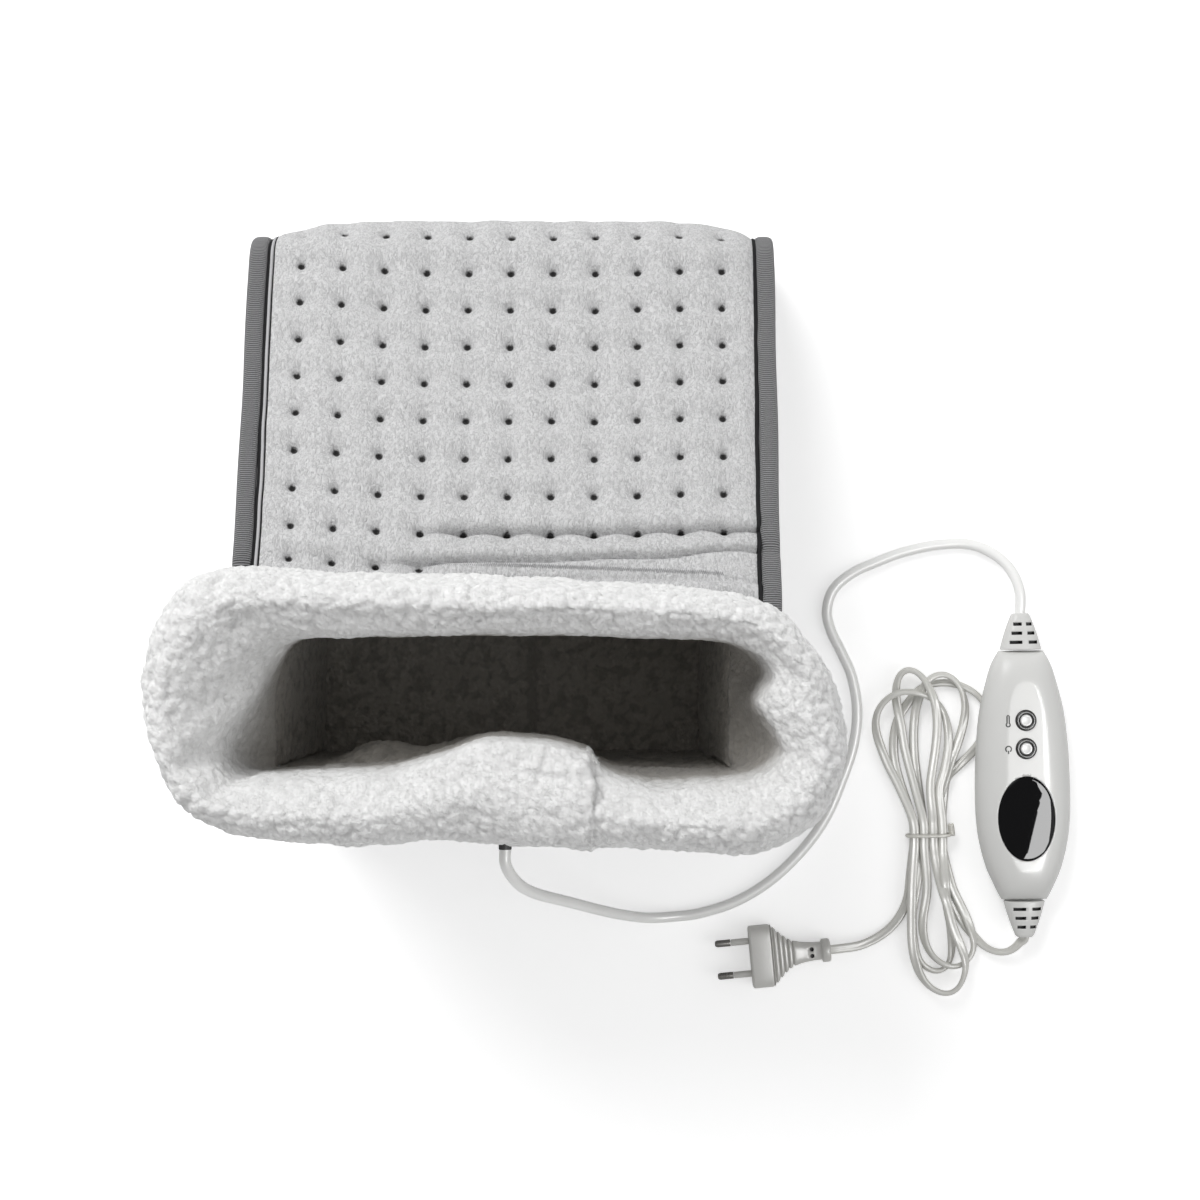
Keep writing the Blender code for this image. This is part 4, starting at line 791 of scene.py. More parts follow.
def flatMark(name, curves, key):
    # a thin mark that lies on the case: each line a list of (x, y) round its middle
    left, middle = keys["marksX"], keys[key] - keys["marksLower"]
    bm = bmesh.new()
    for line in curves:
        closed = line[0] == line[-1]
        line = line[:-1] if closed else line
        n = len(line)
        rails = []
        for k, (x, y) in enumerate(line):
            before = line[(k - 1) % n] if closed or k else line[k]
            after = line[(k + 1) % n] if closed or k < n - 1 else line[k]
            ahead = Vector((after[0] - before[0], after[1] - before[1])).normalized()
            pair = []
            for side in (-1, 1):
                u = left + x - side * ahead.y * mark["width"] / 2
                v = middle + y + side * ahead.x * mark["width"] / 2
                pair.append(bm.verts.new(casePoint(u, v, caseTopAt(u, v) + mark["lift"])))
            rails.append(pair)
        for k in range(n if closed else n - 1):
            a, b = rails[k], rails[(k + 1) % n]
            bm.faces.new((a[0], a[1], b[1], b[0]))
    walls = bmesh.ops.extrude_face_region(bm, geom=bm.faces[:])
    bmesh.ops.translate(bm, verts=newVerts(walls), vec=(0, 0, -mark["thickness"]))
    return linkMesh(name, finishMesh(name, bm), markInk, slot="ring")


def arc(radius, first, last, count, lower=0.0):
    return [(radius * math.cos(math.radians(first + (last - first) * k / count)),
             radius * math.sin(math.radians(first + (last - first) * k / count)) - lower)
            for k in range(count + 1)]


flatMark("powerMark", [arc(0.0016, -60, 240, 24), [(0.0, -0.0027), (0.0, -0.0009)]], "power")
bulb = arc(0.0011, 125, 415, 20, 0.0022)
flatMark("heatMark", [bulb + [(0.00063, 0.0026), (0.0, 0.0032), (-0.00063, 0.0026), bulb[0]]],
         "temp")
relief = {"length": 0.021, "rows": 3, "wide": (0.0236, 0.0097), "high": (0.0150, 0.0084),
          "start": 0.07105, "firstSlot": 0.0046, "slotPitch": 0.00515,
          "slotSize": (0.0018, 0.008), "slotZ": 0.0062}


def buildRelief(name, side, node):
    # a tapered sleeve with three rows of slots, a long one and a short one in each
    length = relief["length"]
    wideStart, wideEnd = relief["wide"]
    highStart, highEnd = relief["high"]
    rings = []
    for k in range(25):
        share = k / 24
        wide = (wideStart * (1 - share) + wideEnd * share) / 2
        high = (highStart * (1 - share) + highEnd * share) / 2
        swell = 0.0005 * math.sin(math.pi * share)
        if k in (0, 24):
            wide, high = wide - 0.0006, high - 0.0006
        y = length * share if k else 0.0004
        rings.append([(u, y, w)
                      for u, w in squircle(wide + swell, high + swell, 2.6, 48)])
    turn = 0 if side > 0 else math.radians(180)
    place = casePlace @ Matrix.Translation(
        (0, side * relief["start"], controller["axisZ"])) @ Matrix.Rotation(turn, 4, "Z")
    made = sweepSections(name, [[place @ Vector(p) for p in ring] for ring in rings], casePlastic,
                         replaced=(node,), slot="case")
    bm = bmesh.new()
    for row in range(relief["rows"]):
        y = relief["firstSlot"] + relief["slotPitch"] * row
        wide = (wideStart + (wideEnd - wideStart) * y / length) / 2
        for middle, reach in ((-0.36 * side, 0.68), (0.58 * side, 0.50)):
            for face in (-1, 1):
                slot = bmesh.ops.create_cube(bm, size=1)["verts"]
                bmesh.ops.scale(bm, verts=slot, vec=(wide * reach, *relief["slotSize"]))
                bmesh.ops.translate(bm, verts=slot, vec=(middle * wide, y, face * relief["slotZ"]))
    mesh = finishMesh("slots", bm)
    # the slot walls take the near-black of painted shade
    mesh.materials.append(holeShadeAndGrommetBlack)
    mesh.transform(place)
    carve(made, looseObject("slots", mesh))


buildRelief("reliefToPouch", 1, "heater_side_relief")
buildRelief("reliefToPlug", -1, "mains_side_relief")
print("controller made")

# Velour: quilted in a grid, with its own flat coordinates in tuft pitches
pouch = {"halfBody": 0.131, "heel": 0.150, "toe": 0.1575, "neck": 0.165, "toeHeight": 0.0685,
         "throatFront": -0.0586, "ledge": 0.0167, "ledgeRadius": 0.030, "toeRadius": 0.028,
         "foot": 0.0106, "panelThickness": 0.010, "gap": 0.0003}
quilt = {"pitch": 0.0226, "rows": 9, "firstRow": 0.0501, "crown": 0.005, "draw": 0.003,
         "fade": 0.060, "pitDepth": 0.0068, "pitRadius": 0.0062, "drift": (0.0070, 0.0032),
         "pitShadeRadius": 0.0022, "bunched": 0.0020, "puff": 0.0006, "toeLift": (0.0037, 0.058, 0.042),
         "cellsAcross": 290, "cellsAlong": 320}
# creases in front of the cuff: how deep or high, where along the profile, how wide
crease = {"deep": (0.0040, 0.0518, 0.0013), "lip": (0.0016, 0.0570, 0.0040), "fold": 0.0367,
          "foldDeep": (0.0034, 0.0011), "foldLip": (0.0014, 0.0042, 0.0030),
          "last": (0.0014, 0.0268, 0.0012), "lastLip": (0.0012, 0.0225, 0.0030)}


def velourMaterial(name, color, quilted):
    made, tree, shader = newMaterial(name, color, 0.88, sheen=0.15)
    place = coordinates(tree)
    grain = placeGrain(tree, place, color, 1500, 55, 0.02, 2.0)
    streak = addNode(tree, "ShaderNodeTexNoise", Scale=760.0, Detail=2.0, Roughness=0.6,
                     Distortion=1.2)
    turned = addNode(tree, "ShaderNodeMapping", Rotation=(0, 0, math.radians(35)),
                     Scale=(1.0, 0.45, 1.0))  # the pile lies slantwise
    tree.links.new(place, turned.inputs["Vector"])
    tree.links.new(turned.outputs[0], streak.inputs["Vector"])
    height = mathNode(tree, "ADD", mathNode(tree, "MULTIPLY", streak.outputs["Fac"], 0.7),
                      mathNode(tree, "MULTIPLY", grain.outputs["Height"], 0.3))
    lying = rangeNode(tree, streak.outputs["Fac"], 0.42, 0.60, 0.50)
    result = mixNode(tree, lying, grain.outputs["Color"], tuple(c * 0.48 for c in color) + (1,))
    if quilted:
        flat = addNode(tree, "ShaderNodeUVMap", uv_map="flat")
        parts = tree.nodes.new("ShaderNodeSeparateXYZ")
        tree.links.new(flat.outputs[0], parts.inputs[0])
        wobble = addNode(tree, "ShaderNodeTexNoise", Scale=700.0, Detail=1.0)
        tree.links.new(place, wobble.inputs["Vector"])
        squares = []
        for axis in (0, 1):
            shifted = mathNode(tree, "ADD", parts.outputs[axis], 0.5)
            fraction = mathNode(tree, "SUBTRACT", mathNode(tree, "FRACT", shifted), 0.5)
            squares.append(mathNode(tree, "POWER", mathNode(tree, "ABSOLUTE", fraction), 2.0))
        away = mathNode(tree, "SQRT", mathNode(tree, "ADD", *squares))
        away = mathNode(tree, "ADD", away, mathNode(tree, "MULTIPLY", mathNode(
            tree, "SUBTRACT", wobble.outputs["Fac"], 0.5), 0.05))
        # the tuft pits get a near-black core: painted shade in each pit
        edge = quilt["pitShadeRadius"] / quilt["pitch"]
        pitShade = rangeNode(tree, away, edge * 1.12, edge * 0.62, 1.0, "SMOOTHSTEP")
        inside = mathNode(tree, "MULTIPLY", pitShade, mathNode(
            tree, "MULTIPLY",
            mathNode(tree, "LESS_THAN", mathNode(tree, "ABSOLUTE", parts.outputs[0]), 5.4),
            mathNode(tree, "LESS_THAN", mathNode(tree, "ABSOLUTE", mathNode(
                tree, "SUBTRACT", parts.outputs[1], 3.5)), 4.9)))
        near = mathNode(tree, "MAXIMUM", mathNode(tree, "GREATER_THAN", parts.outputs[1], -0.5),
                        mathNode(tree, "LESS_THAN", parts.outputs[0], -1.5))
        inside = mathNode(tree, "MULTIPLY", inside, near)
        result = mixNode(tree, inside, result, (0.022, 0.021, 0.021, 1))
    tree.links.new(result, shader.inputs["Base Color"])
    shader.inputs["Specular IOR Level"].default_value = 0.2
    bumpInto(tree, shader, height, 0.0024)
    return made


velour = velourMaterial("greyVelour", (0.86, 0.86, 0.865), True)
velourPlain = velourMaterial("greyVelourPlain", (0.84, 0.84, 0.845), False)


def tapeMaterial(name, color, ribPitch):
    # ribbed tape: its ribs run across it, by the strip coordinate of the piece; the rib hollows are
    # painted darker, a painted shade
    made, tree, shader = newMaterial(name, color, 0.75, sheen=0.15)
    grain = placeGrain(tree, coordinates(tree), color, 1400, 80, 0.02)
    wave = addNode(tree, "ShaderNodeTexWave", Scale=math.tau / ribPitch / 20, Distortion=0.6,
                   Detail=1.0, wave_type="BANDS", bands_direction="X")
    wave.inputs["Detail Scale"].default_value = 2.0
    tree.links.new(attributeNode(tree, "strip").outputs["Vector"], wave.inputs["Vector"])
    ribHollowShade = mixNode(tree, wave.outputs["Fac"], grain.outputs["Color"],
                     tuple(c * 0.16 for c in color) + (1,))
    tree.links.new(ribHollowShade, shader.inputs["Base Color"])
    bumpInto(tree, shader, mathNode(tree, "SUBTRACT", grain.outputs["Height"],
                                    mathNode(tree, "MULTIPLY", wave.outputs["Fac"], 1.5)), 0.0010)
    return made


bindingTape = tapeMaterial("bindingTape", (0.47, 0.47, 0.485), 0.0012)
# near-black lines along the panel's sides: painted shadow in the gap between the panel and the
# bindings
edgeGapShade = grainMaterial("edgeGapShade", (0.012, 0.012, 0.013), 0.8, 1600, 200, 0.1, 0.0001,
                           specular=0.15)


# Side profile of the top panel's face, in straight runs and arcs
def filletPath(corners, radii):
    corners = [np.array(c, float) for c in corners]
    pieces, start = [], corners[0]
    for before, corner, after, radius in zip(corners, corners[1:], corners[2:], radii):
        a = (corner - before) / np.linalg.norm(corner - before)
        b = (after - corner) / np.linalg.norm(after - corner)
        turn = math.acos(float(a @ b))
        reach = radius * math.tan(turn / 2)
        normal = np.array([-a[1], a[0]])
        end = corner - a * reach
        pieces.append(("run", float(np.linalg.norm(end - start)), start, a, normal))
        pieces.append(("arc", radius * turn, end - normal * radius, radius, normal))
        start = corner + b * reach
    last = (corners[-1] - start) / np.linalg.norm(corners[-1] - start)
    pieces.append(("run", float(np.linalg.norm(corners[-1] - start)), start, last,
                   np.array([-last[1], last[0]])))
    return pieces


sideProfile = filletPath(
    ((pouch["throatFront"], pouch["neck"]), (pouch["throatFront"] + pouch["ledge"], pouch["neck"]),
     (pouch["toe"], pouch["toeHeight"]), (pouch["toe"], pouch["foot"])),
    (pouch["ledgeRadius"], pouch["toeRadius"]))
sideLength = sum(piece[1] for piece in sideProfile)


def sideAt(distance, rise=0.0):
    # (y, z) along the profile, moved outwards by rise
    for number, (kind, length, *rest) in enumerate(sideProfile):
        if distance <= length or number == len(sideProfile) - 1:
            break
        distance -= length
    if kind == "run":
        start, direction, normal = rest
        point = start + direction * distance
    else:
        centre, radius, first = rest
        angle = -distance / radius
        normal = np.array([first[0] * math.cos(angle) - first[1] * math.sin(angle),
                           first[0] * math.sin(angle) + first[1] * math.cos(angle)])
        point = centre + normal * radius
    point = point + normal * rise
    return float(point[0]), float(point[1])


def columnShift(x):
    # the rows of tufts climb a little towards both sides
    left, right = quilt["drift"]
    return (left * max(0.0, (-0.0226 - x) / 0.0904) ** 2
            + right * max(0.0, (x - 0.030) / 0.083) ** 2)


def rowPlace(x, distance):
    # how many tuft pitches from the first row; the rows near the crease lie closer
    bunched = quilt["bunched"] * math.exp(-max(0.0, distance - 0.050) / 0.022)
    row = (distance - bunched - columnShift(x) - quilt["firstRow"]) / quilt["pitch"]
    return row if row > 0 else row * (1 + 0.22 * min(1.0, -row))


def panelRise(x, distance):
    # height of the quilted face over the side profile
    share = abs(x) / pouch["halfBody"]
    fade = float(smoothstep(distance / quilt["fade"]) * smoothstep(
        (sideLength - distance) / quilt["fade"]))
    rise = (quilt["crown"] + quilt["draw"]) * fade * (1 - share ** 8) - quilt["draw"]
    lift, place, width = quilt["toeLift"]
    rise += lift * (1 - 0.25 * share ** 2 - 0.75 * share ** 16) * groove(
        distance, sideLength - place, width)
    column = x / quilt["pitch"]
    row = rowPlace(x, distance)
    u, v = column - round(column), row - round(row)
    lowest = -1 if column < -1.5 else 0
    if abs(round(column)) <= 5 and lowest <= round(row) <= quilt["rows"] - 1:
        away = math.hypot(u, v) * quilt["pitch"]
        rise -= quilt["pitDepth"] * (0.55 * math.exp(-(away / (0.42 * quilt["pitRadius"])) ** 2)
                                     + 0.45 * math.exp(-(away / (1.30 * quilt["pitRadius"])) ** 2))
    puff = quilt["puff"] * abs(math.sin(math.pi * column)) * abs(math.sin(math.pi * row))
    spot = Vector((x * 30, distance * 30, 5.0))
    rise += fade * (puff + 0.0009 * noise.noise(spot) + 0.0004 * noise.noise(spot * 2.7))
    return rise + creaseRise(x, distance)


def creaseRise(x, distance):
    # the panel buckles in front of the cuff
    right, far = smoothstep((x + 0.055) / 0.03), smoothstep((x + 0.085) / 0.05)
    wander = 0.0010 * noise.noise(Vector((x * 25, 1.0, 2.0)))
    shift = columnShift(x)
    fold = crease["fold"] + 2 * wander + 0.024 * x + 0.0050 * smoothstep((x - 0.08) / 0.05)
    rise = 0.0
    for sign, share, moved, key in ((-1, right, shift + wander, "deep"), (1, right, shift, "lip"),
                                    (-1, 1.0, 0.5 * wander, "last"), (1, 1.0, 0.0, "lastLip")):
        height, place, width = crease[key]
        rise += sign * height * share * groove(distance, place + moved, width)
    height, width = crease["foldDeep"]
    rise -= height * far * groove(distance, fold, width)
    height, place, width = crease["foldLip"]
    return float(rise + height * far * groove(distance, fold + place, width))


# The pouch narrows towards its neck, and leans a little to the right
drawn = {"from": 0.055, "over": 0.105, "foot": 1.006, "neck": 0.031, "lean": (0.0012, 0.0006),
         "leanOver": 0.05}


def drawnIn(place):
    x, y, z = place
    share = float(smoothstep((z - drawn["from"]) / drawn["over"]))
    lean = drawn["lean"][0] + drawn["lean"][1] * share
    lean *= min(1.0, max(0.0, z / drawn["leanOver"]))
    return x * (drawn["foot"] - drawn["neck"] * share) + lean, y, z


def drawIn(mesh):
    for vert in mesh.vertices:
        vert.co = drawnIn(vert.co)
    mesh.update()


def buildTopPanel():
    across, along = quilt["cellsAcross"], quilt["cellsAlong"]
    half = pouch["halfBody"] - pouch["gap"]
    bm = bmesh.new()
    bmesh.ops.create_grid(bm, x_segments=across, y_segments=along, size=1)
    flat = bm.verts.layers.float_vector.new("flatPlace")
    for vert in bm.verts:
        i, j = round((vert.co.x + 1) / 2 * across), round((vert.co.y + 1) / 2 * along)
        x = (i / across * 2 - 1) * half
        distance = sideLength * j / along
        vert[flat] = (x / quilt["pitch"], rowPlace(x, distance), distance)
        vert.co = (x, *sideAt(distance, panelRise(x, distance)))
    rim = [e for e in bm.edges if e.is_boundary]
    below = {}
    for vert in newVerts(bmesh.ops.extrude_edge_only(bm, edges=rim)):
        x, distance = vert[flat][0] * quilt["pitch"], vert[flat][2]
        i, j = round((x / half + 1) / 2 * across), round(distance / sideLength * along)
        vert.co = (x, *sideAt(distance, -pouch["panelThickness"]))
        below[i, j] = vert
    for j in range(1, along - 1):
        bm.faces.new((below[0, j], below[0, j + 1], below[across, j + 1], below[across, j]))
    bm.faces.new([below[i, 0] for i in range(across, -1, -1)] + [below[0, 1], below[across, 1]])
    bm.faces.new([below[i, along] for i in range(across + 1)]
                 + [below[across, along - 1], below[0, along - 1]])
    uv = bm.loops.layers.uv.new("flat")
    for face in bm.faces:
        for loop in face.loops:
            loop[uv].uv = loop.vert[flat][:2]
    mesh = finishMesh("quiltedPanel", bm, angle=60)
    drawIn(mesh)
    return linkMesh("quiltedPanel", mesh, velour, replaced=("top_panel",), slot="velour")


topPanel = buildTopPanel()
print("quilted panel made")

binding = {"width": 0.0108, "thickness": 0.007, "sink": 0.0004, "stations": 110,
           "pinch": {1: (0.0022, 0.0440, 0.004), -1: (0.0024, 0.0335, 0.003)}}


def stripSections(name, sections, look, marks, **how):
    # like sweepSections, with each point's place along the strip kept for its material
    obj = sweepSections(name, sections, look, **how)
    count = len(sections[0])
    places = np.array([tuple(p) for ring in sections for p in ring])
    values = []
    for vert in obj.data.vertices:
        key = int(np.argmin(np.abs(places - np.array(vert.co)).sum(axis=1)))
        values += (marks[key // count], (key % count) / count, 0)
    obj.data.attributes.new("strip", "FLOAT_VECTOR", "POINT").data.foreach_set("vector", values)
    return obj


def buildBinding(name, side, node):
    # a folded tape bent over the side seam, its end round at the toe and pinched near the cuff
    sections, marks = [], []
    half = binding["width"] / 2
    for k in range(binding["stations"]):
        share = k / (binding["stations"] - 1)
        distance = 0.004 + (sideLength - 0.006) * share
        pinch, place, reach = binding["pinch"][side]
        pinch *= groove(distance, place, reach)
        end = min(1.0, 0.6 + 30 * share, 0.6 + 30 * (1 - share))
        middle = side * (pouch["halfBody"] + pouch["gap"] + half) + 0.0007 * noise.noise(
            Vector((distance * 18, side, 0.5)))
        here, above = np.array(sideAt(distance)), np.array(sideAt(distance, 1.0))
        out = above - here
        ring = []
        for u, w in squircle((half - 0.0003) * end, (binding["thickness"] / 2) * end, 2.7, 28):
            level = -binding["sink"] - binding["thickness"] / 2 + w - pinch
            ring.append(Vector(drawnIn((middle + u, *(here + out * level)))))
        sections.append(ring)
        marks.append(distance)
    return stripSections(name, sections, bindingTape, marks, replaced=(node,), slot="binding",
                         angle=60)


buildBinding("bindingLeft", -1, "left_binding")
buildBinding("bindingRight", 1, "right_binding")


def edgeShadeCurve(name, x, width, look):
    line = []
    for k in range(170):
        distance = 0.010 + (sideLength - 0.014) * k / 169
        wavy = x + 0.0004 * noise.noise(Vector((distance * 40, x, 0)))
        line.append(drawnIn((wavy, *sideAt(distance, panelRise(x, distance)))))
    return curvePiece(name, line, width, look, 3, slot="binding")


# a grey roll beside the left binding, its grey a painted shade on a narrow fold; the dark lines are
# painted shadow in the gaps at the panel's edges
edgeFoldShade = grainMaterial("edgeFoldShade", (0.46, 0.46, 0.47), 0.85, 1500, 60, 0.05, 0.0003)
edgeShadeTable = ((-0.1309, 0.0021, edgeGapShade), (-0.1281, 0.0009, edgeGapShade),
             (0.1309, 0.0024, edgeGapShade), (-0.1294, 0.0019, edgeFoldShade))
for number, (x, width, look) in enumerate(edgeShadeTable):
    edgeShadeCurve("edgeShadeLine" + str(number + 1), x, width, look)


zigzag = {"from": -0.040, "to": 0.112, "stitches": 280, "place": 0.0340, "slope": -0.036,
          "half": 0.0009, "lift": 0.0002, "thread": 0.0005}


def zigzagSeam():
    line = []
    for k in range(zigzag["stitches"] + 1):
        x = zigzag["from"] + (zigzag["to"] - zigzag["from"]) * k / zigzag["stitches"]
        distance = zigzag["place"] + zigzag["slope"] * x + zigzag["half"] * (1 if k % 2 else -1)
        line.append(drawnIn((x, *sideAt(distance, panelRise(x, distance) + zigzag["lift"]))))
    curvePiece("zigzagSeam", line, zigzag["thread"], grainMaterial(
        "paleThread", (0.42, 0.42, 0.43), 0.7, 1500, 100, 0.05, 0.0), 2, slot="velour")


zigzagSeam()
print("bindings and seams made")


# Padded walls: each from its flat solid, swollen by cloth pressure, then subdivided once
def freshCopy(name, node):
    mesh = nodes[node].data.copy()
    mesh.transform(nodes[node].matrix_world)
    bm = bmesh.new()
    bm.from_mesh(mesh)
    bmesh.ops.remove_doubles(bm, verts=bm.verts, dist=0.00002)
    bm.to_mesh(mesh)
    bm.free()
    mesh.name = name
    mesh.materials.clear()
    return looseObject(name, mesh)


def evened(obj, voxel):
    even = obj.modifiers.new("even", "REMESH")
    even.mode = "VOXEL"
    even.voxel_size = voxel
    bakeModifiers(obj)


filled = {"voxel": 0.0045, "pressure": 4.0, "cap": 0.005, "frames": 20, "stretch": 25, "shear": 15,
          "bend": 1.5}


def swell(obj):
    scene = bpy.context.scene
    evened(obj, filled["voxel"])
    count = len(obj.data.vertices)
    before = np.empty(count * 3)
    obj.data.vertices.foreach_get("co", before)
    cloth = obj.modifiers.new("fill", "CLOTH")
    cloth.settings.effector_weights.gravity = 0
    cloth.settings.use_pressure = True
    cloth.settings.uniform_pressure_force = filled["pressure"]
    cloth.settings.tension_stiffness = filled["stretch"]
    cloth.settings.compression_stiffness = filled["stretch"]
    cloth.settings.shear_stiffness = filled["shear"]
    cloth.settings.bending_stiffness = filled["bend"]
    cloth.settings.quality = 5
    cloth.collision_settings.use_collision = False
    for step in range(1, filled["frames"] + 1):
        scene.frame_set(step)
    bakeModifiers(obj)
    after = np.empty(count * 3)
    obj.data.vertices.foreach_get("co", after)
    move = (after - before).reshape(-1, 3)
    size = np.linalg.norm(move, axis=1, keepdims=True)
    move *= np.minimum(1.0, filled["cap"] / np.maximum(size, 1e-9))
    obj.data.vertices.foreach_set("co", (before.reshape(-1, 3) + move).ravel())
    scene.frame_set(1)


def subdivide(obj):
    smooth = obj.modifiers.new("smooth", "SUBSURF")
    smooth.levels = smooth.render_levels = 1
    bakeModifiers(obj)


def setLook(obj, look):
    obj.data.materials.clear()
    obj.data.materials.append(look)


def dress(obj, look, node):
    setLook(obj, look)
    obj.data.shade_smooth()
    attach(obj, "foot_warmer")
    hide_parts(node)


for name, node in (("sideWallLeft", "left_side_panel"), ("sideWallRight", "right_side_panel"),
                   ("heelWall", "heel_panel")):
    wall = freshCopy(name, node)
    swell(wall)
    subdivide(wall)
    drawIn(wall.data)
    dress(wall, velourPlain, node)
print("side walls swollen")

# Rolled seams that close the pouch at its back corners and round its foot
piping = {"corner": 0.0078, "foot": 0.0048, "inset": 0.0024, "radius": 0.0045,
          "cornerPlace": (0.1279, -0.1424), "cornerFrom": 0.0112, "cornerHeight": 0.1515}


def footLine(inset, radius, height):
    right, toe, back = pouch["halfBody"] - inset, pouch["toe"] - inset, inset - pouch["heel"]
    line = []
    for x, y, first in ((right, toe, 0), (-right, toe, 90), (-right, back, 180),
                        (right, back, 270)):
        for k in range(9):
            turn = math.radians(first + k * 90 / 8)
            line.append((x - math.copysign(radius, x) + radius * math.cos(turn),
                         y - math.copysign(radius, y) + radius * math.sin(turn), height))
    return [drawnIn(place) for place in line + line[:1]]


for name, side in (("cornerSeamLeft", -1), ("cornerSeamRight", 1)):
    x, y = piping["cornerPlace"]
    upright = [drawnIn((side * x, y, piping["cornerFrom"] + piping["cornerHeight"] * k / 30))
               for k in range(31)]
    curvePiece(name, upright, piping["corner"], velourPlain, 4, slot="velour")
curvePiece("footSeam", footLine(piping["inset"], piping["radius"], pouch["foot"]), piping["foot"],
           velourPlain, 4, slot="velour")


# Fleece: rounded clumps, by the piece's own "clump" and "depth" values, which both paint shade into
# the colour: darker clefts, and a darker inner face down into the pouch
def fleeceMaterial(name, color, cleftShadeColor, insideShadeColor, bump):
    made, tree, shader = newMaterial(name, color, 0.92, sheen=0.3)
    shader.inputs["Specular IOR Level"].default_value = 0.2
    place = coordinates(tree)
    grain = placeGrain(tree, place, color, 1300, 120, 0.02, 1.5)
    fuzz = addNode(tree, "ShaderNodeTexNoise", Scale=850.0, Detail=3.0, Roughness=0.6,
                   Distortion=1.2)
    tree.links.new(place, fuzz.inputs["Vector"])
    tufts = addNode(tree, "ShaderNodeTexVoronoi", Scale=400.0, feature="SMOOTH_F1")
    warp = addNode(tree, "ShaderNodeVectorMath", operation="MULTIPLY_ADD")
    warp.inputs[1].default_value = (0.0016, 0.0016, 0.0016)
    tree.links.new(fuzz.outputs["Color"], warp.inputs[0])
    tree.links.new(place, warp.inputs[2])
    tree.links.new(warp.outputs[0], tufts.inputs["Vector"])
    cleftShade = rangeNode(tree, attributeNode(tree, "clump").outputs["Fac"], 0.45, 0.05, 1.0)
    tinted = mixNode(tree, cleftShade, grain.outputs["Color"], cleftShadeColor + (1,))
    tinted = mixNode(tree, attributeNode(tree, "depth").outputs["Fac"], tinted, insideShadeColor + (1,))
    tree.links.new(tinted, shader.inputs["Base Color"])
    height = mathNode(tree, "ADD", mathNode(tree, "MULTIPLY", fuzz.outputs["Fac"], 0.6),
                      mathNode(tree, "MULTIPLY", tufts.outputs["Distance"], -0.8))
    bumpInto(tree, shader, height, bump)
    return made


# the third colour of each fleece is the painted shade of the inner face
cuffFleece = fleeceMaterial("cuffFleece", (0.88, 0.88, 0.875), (0.80, 0.80, 0.795),
                            (0.38, 0.36, 0.33), 0.0014)
# the lining's taupe colours are painted shade: a white fleece darkened as the unlit inside of the
# pouch
liningFleece = fleeceMaterial("liningFleece", (0.52, 0.49, 0.44), (0.40, 0.376, 0.336),
                              (0.38, 0.36, 0.33), 0.0018)


def clumped(points, normals, clump, height, calm=None):
    # outward moves that make rounded clumps, and how far up its clump each point stands, by which
    # the material paints shade into the clefts
    moves, stands = np.empty(len(points)), np.empty(len(points))
    for k, place in enumerate(points):
        spot = Vector(place) / clump
        spot += 0.30 * noise.noise_vector(spot * 0.8)
        near = noise.voronoi(spot, distance_metric="DISTANCE", exponent=2.5)[0][0]
        dome = max(-0.25, 1 - (near / 0.70) ** 2)
        patch = 0.85 + 0.5 * noise.noise(spot * 0.20)
        stands[k] = dome
        moves[k] = height * ((dome - 0.55) * patch + 0.9 * noise.noise(spot * 0.28)
                             + 0.16 * noise.noise(spot * 2.6))
    if calm is not None:
        moves *= calm
    return points + normals * moves[:, None], stands


def keepValues(mesh, name, values):
    mesh.attributes.new(name, "FLOAT", "POINT").data.foreach_set(
        "value", np.asarray(values, np.float32))


def meshArrays(mesh):
    count = len(mesh.vertices)
    co, normal = np.empty(count * 3), np.empty(count * 3)
    mesh.vertices.foreach_get("co", co)
    mesh.vertices.foreach_get("normal", normal)
    return co.reshape(-1, 3), normal.reshape(-1, 3)


lining = {"clump": 0.0046, "height": 0.0013, "voxel": 0.0021, "foldZ": (0.134, 0.017),
          "folds": ((0.013, -0.062, 0.022, 2), (0.016, 0.004, 0.042, 4)),
          "seam": (0.0115, 0.0020, 0.0030), "lean": (-0.0085, 0.0090)}
for name, node in (("liningInsole", "lining_insole"), ("liningBack", "lining_heel"),
                   ("liningSideLeft", "lining_left"), ("liningSideRight", "lining_right"),
                   ("liningUnderTop", "lining_top")):
    piece = freshCopy(name, node)
    evened(piece, lining["voxel"] * (1.4 if node == "lining_top" else 1.0))
    co, normal = meshArrays(piece.data)
    co, stands = clumped(co, normal, lining["clump"], lining["height"])
    if "Side" in name:  # the side linings lean outwards on their way up
        lean = lining["lean"][0] + lining["lean"][1] * smoothstep((co[:, 2] - 0.02) / 0.15)
        co[:, 0] += np.sign(co[:, 0]) * lean
    if node == "lining_heel":  # soft folds stand forward near its top
        middle, half = lining["foldZ"]
        high = np.exp(-((co[:, 2] - middle) / half) ** 2)
        for deep, x, half, power in lining["folds"]:
            co[:, 1] += high * deep * np.exp(-((co[:, 0] - x) / half) ** power)
    if node == "lining_insole":  # a seam runs along the insole
        x, half, deep = lining["seam"]
        seam = np.exp(-((co[:, 0] - x) / half) ** 2)
        co[:, 2] -= deep * seam * (co[:, 2] > 0.02)
        # the seam's groove gets painted shade, through a lower clump value
        stands -= 1.5 * seam
    keepValues(piece.data, "clump", stands)
    piece.data.vertices.foreach_set("co", co.ravel())
    dress(piece, liningFleece, node)

throatRoll = {"half": 0.1128, "middle": (-0.0580, 0.1530), "size": (0.0030, 0.0128)}


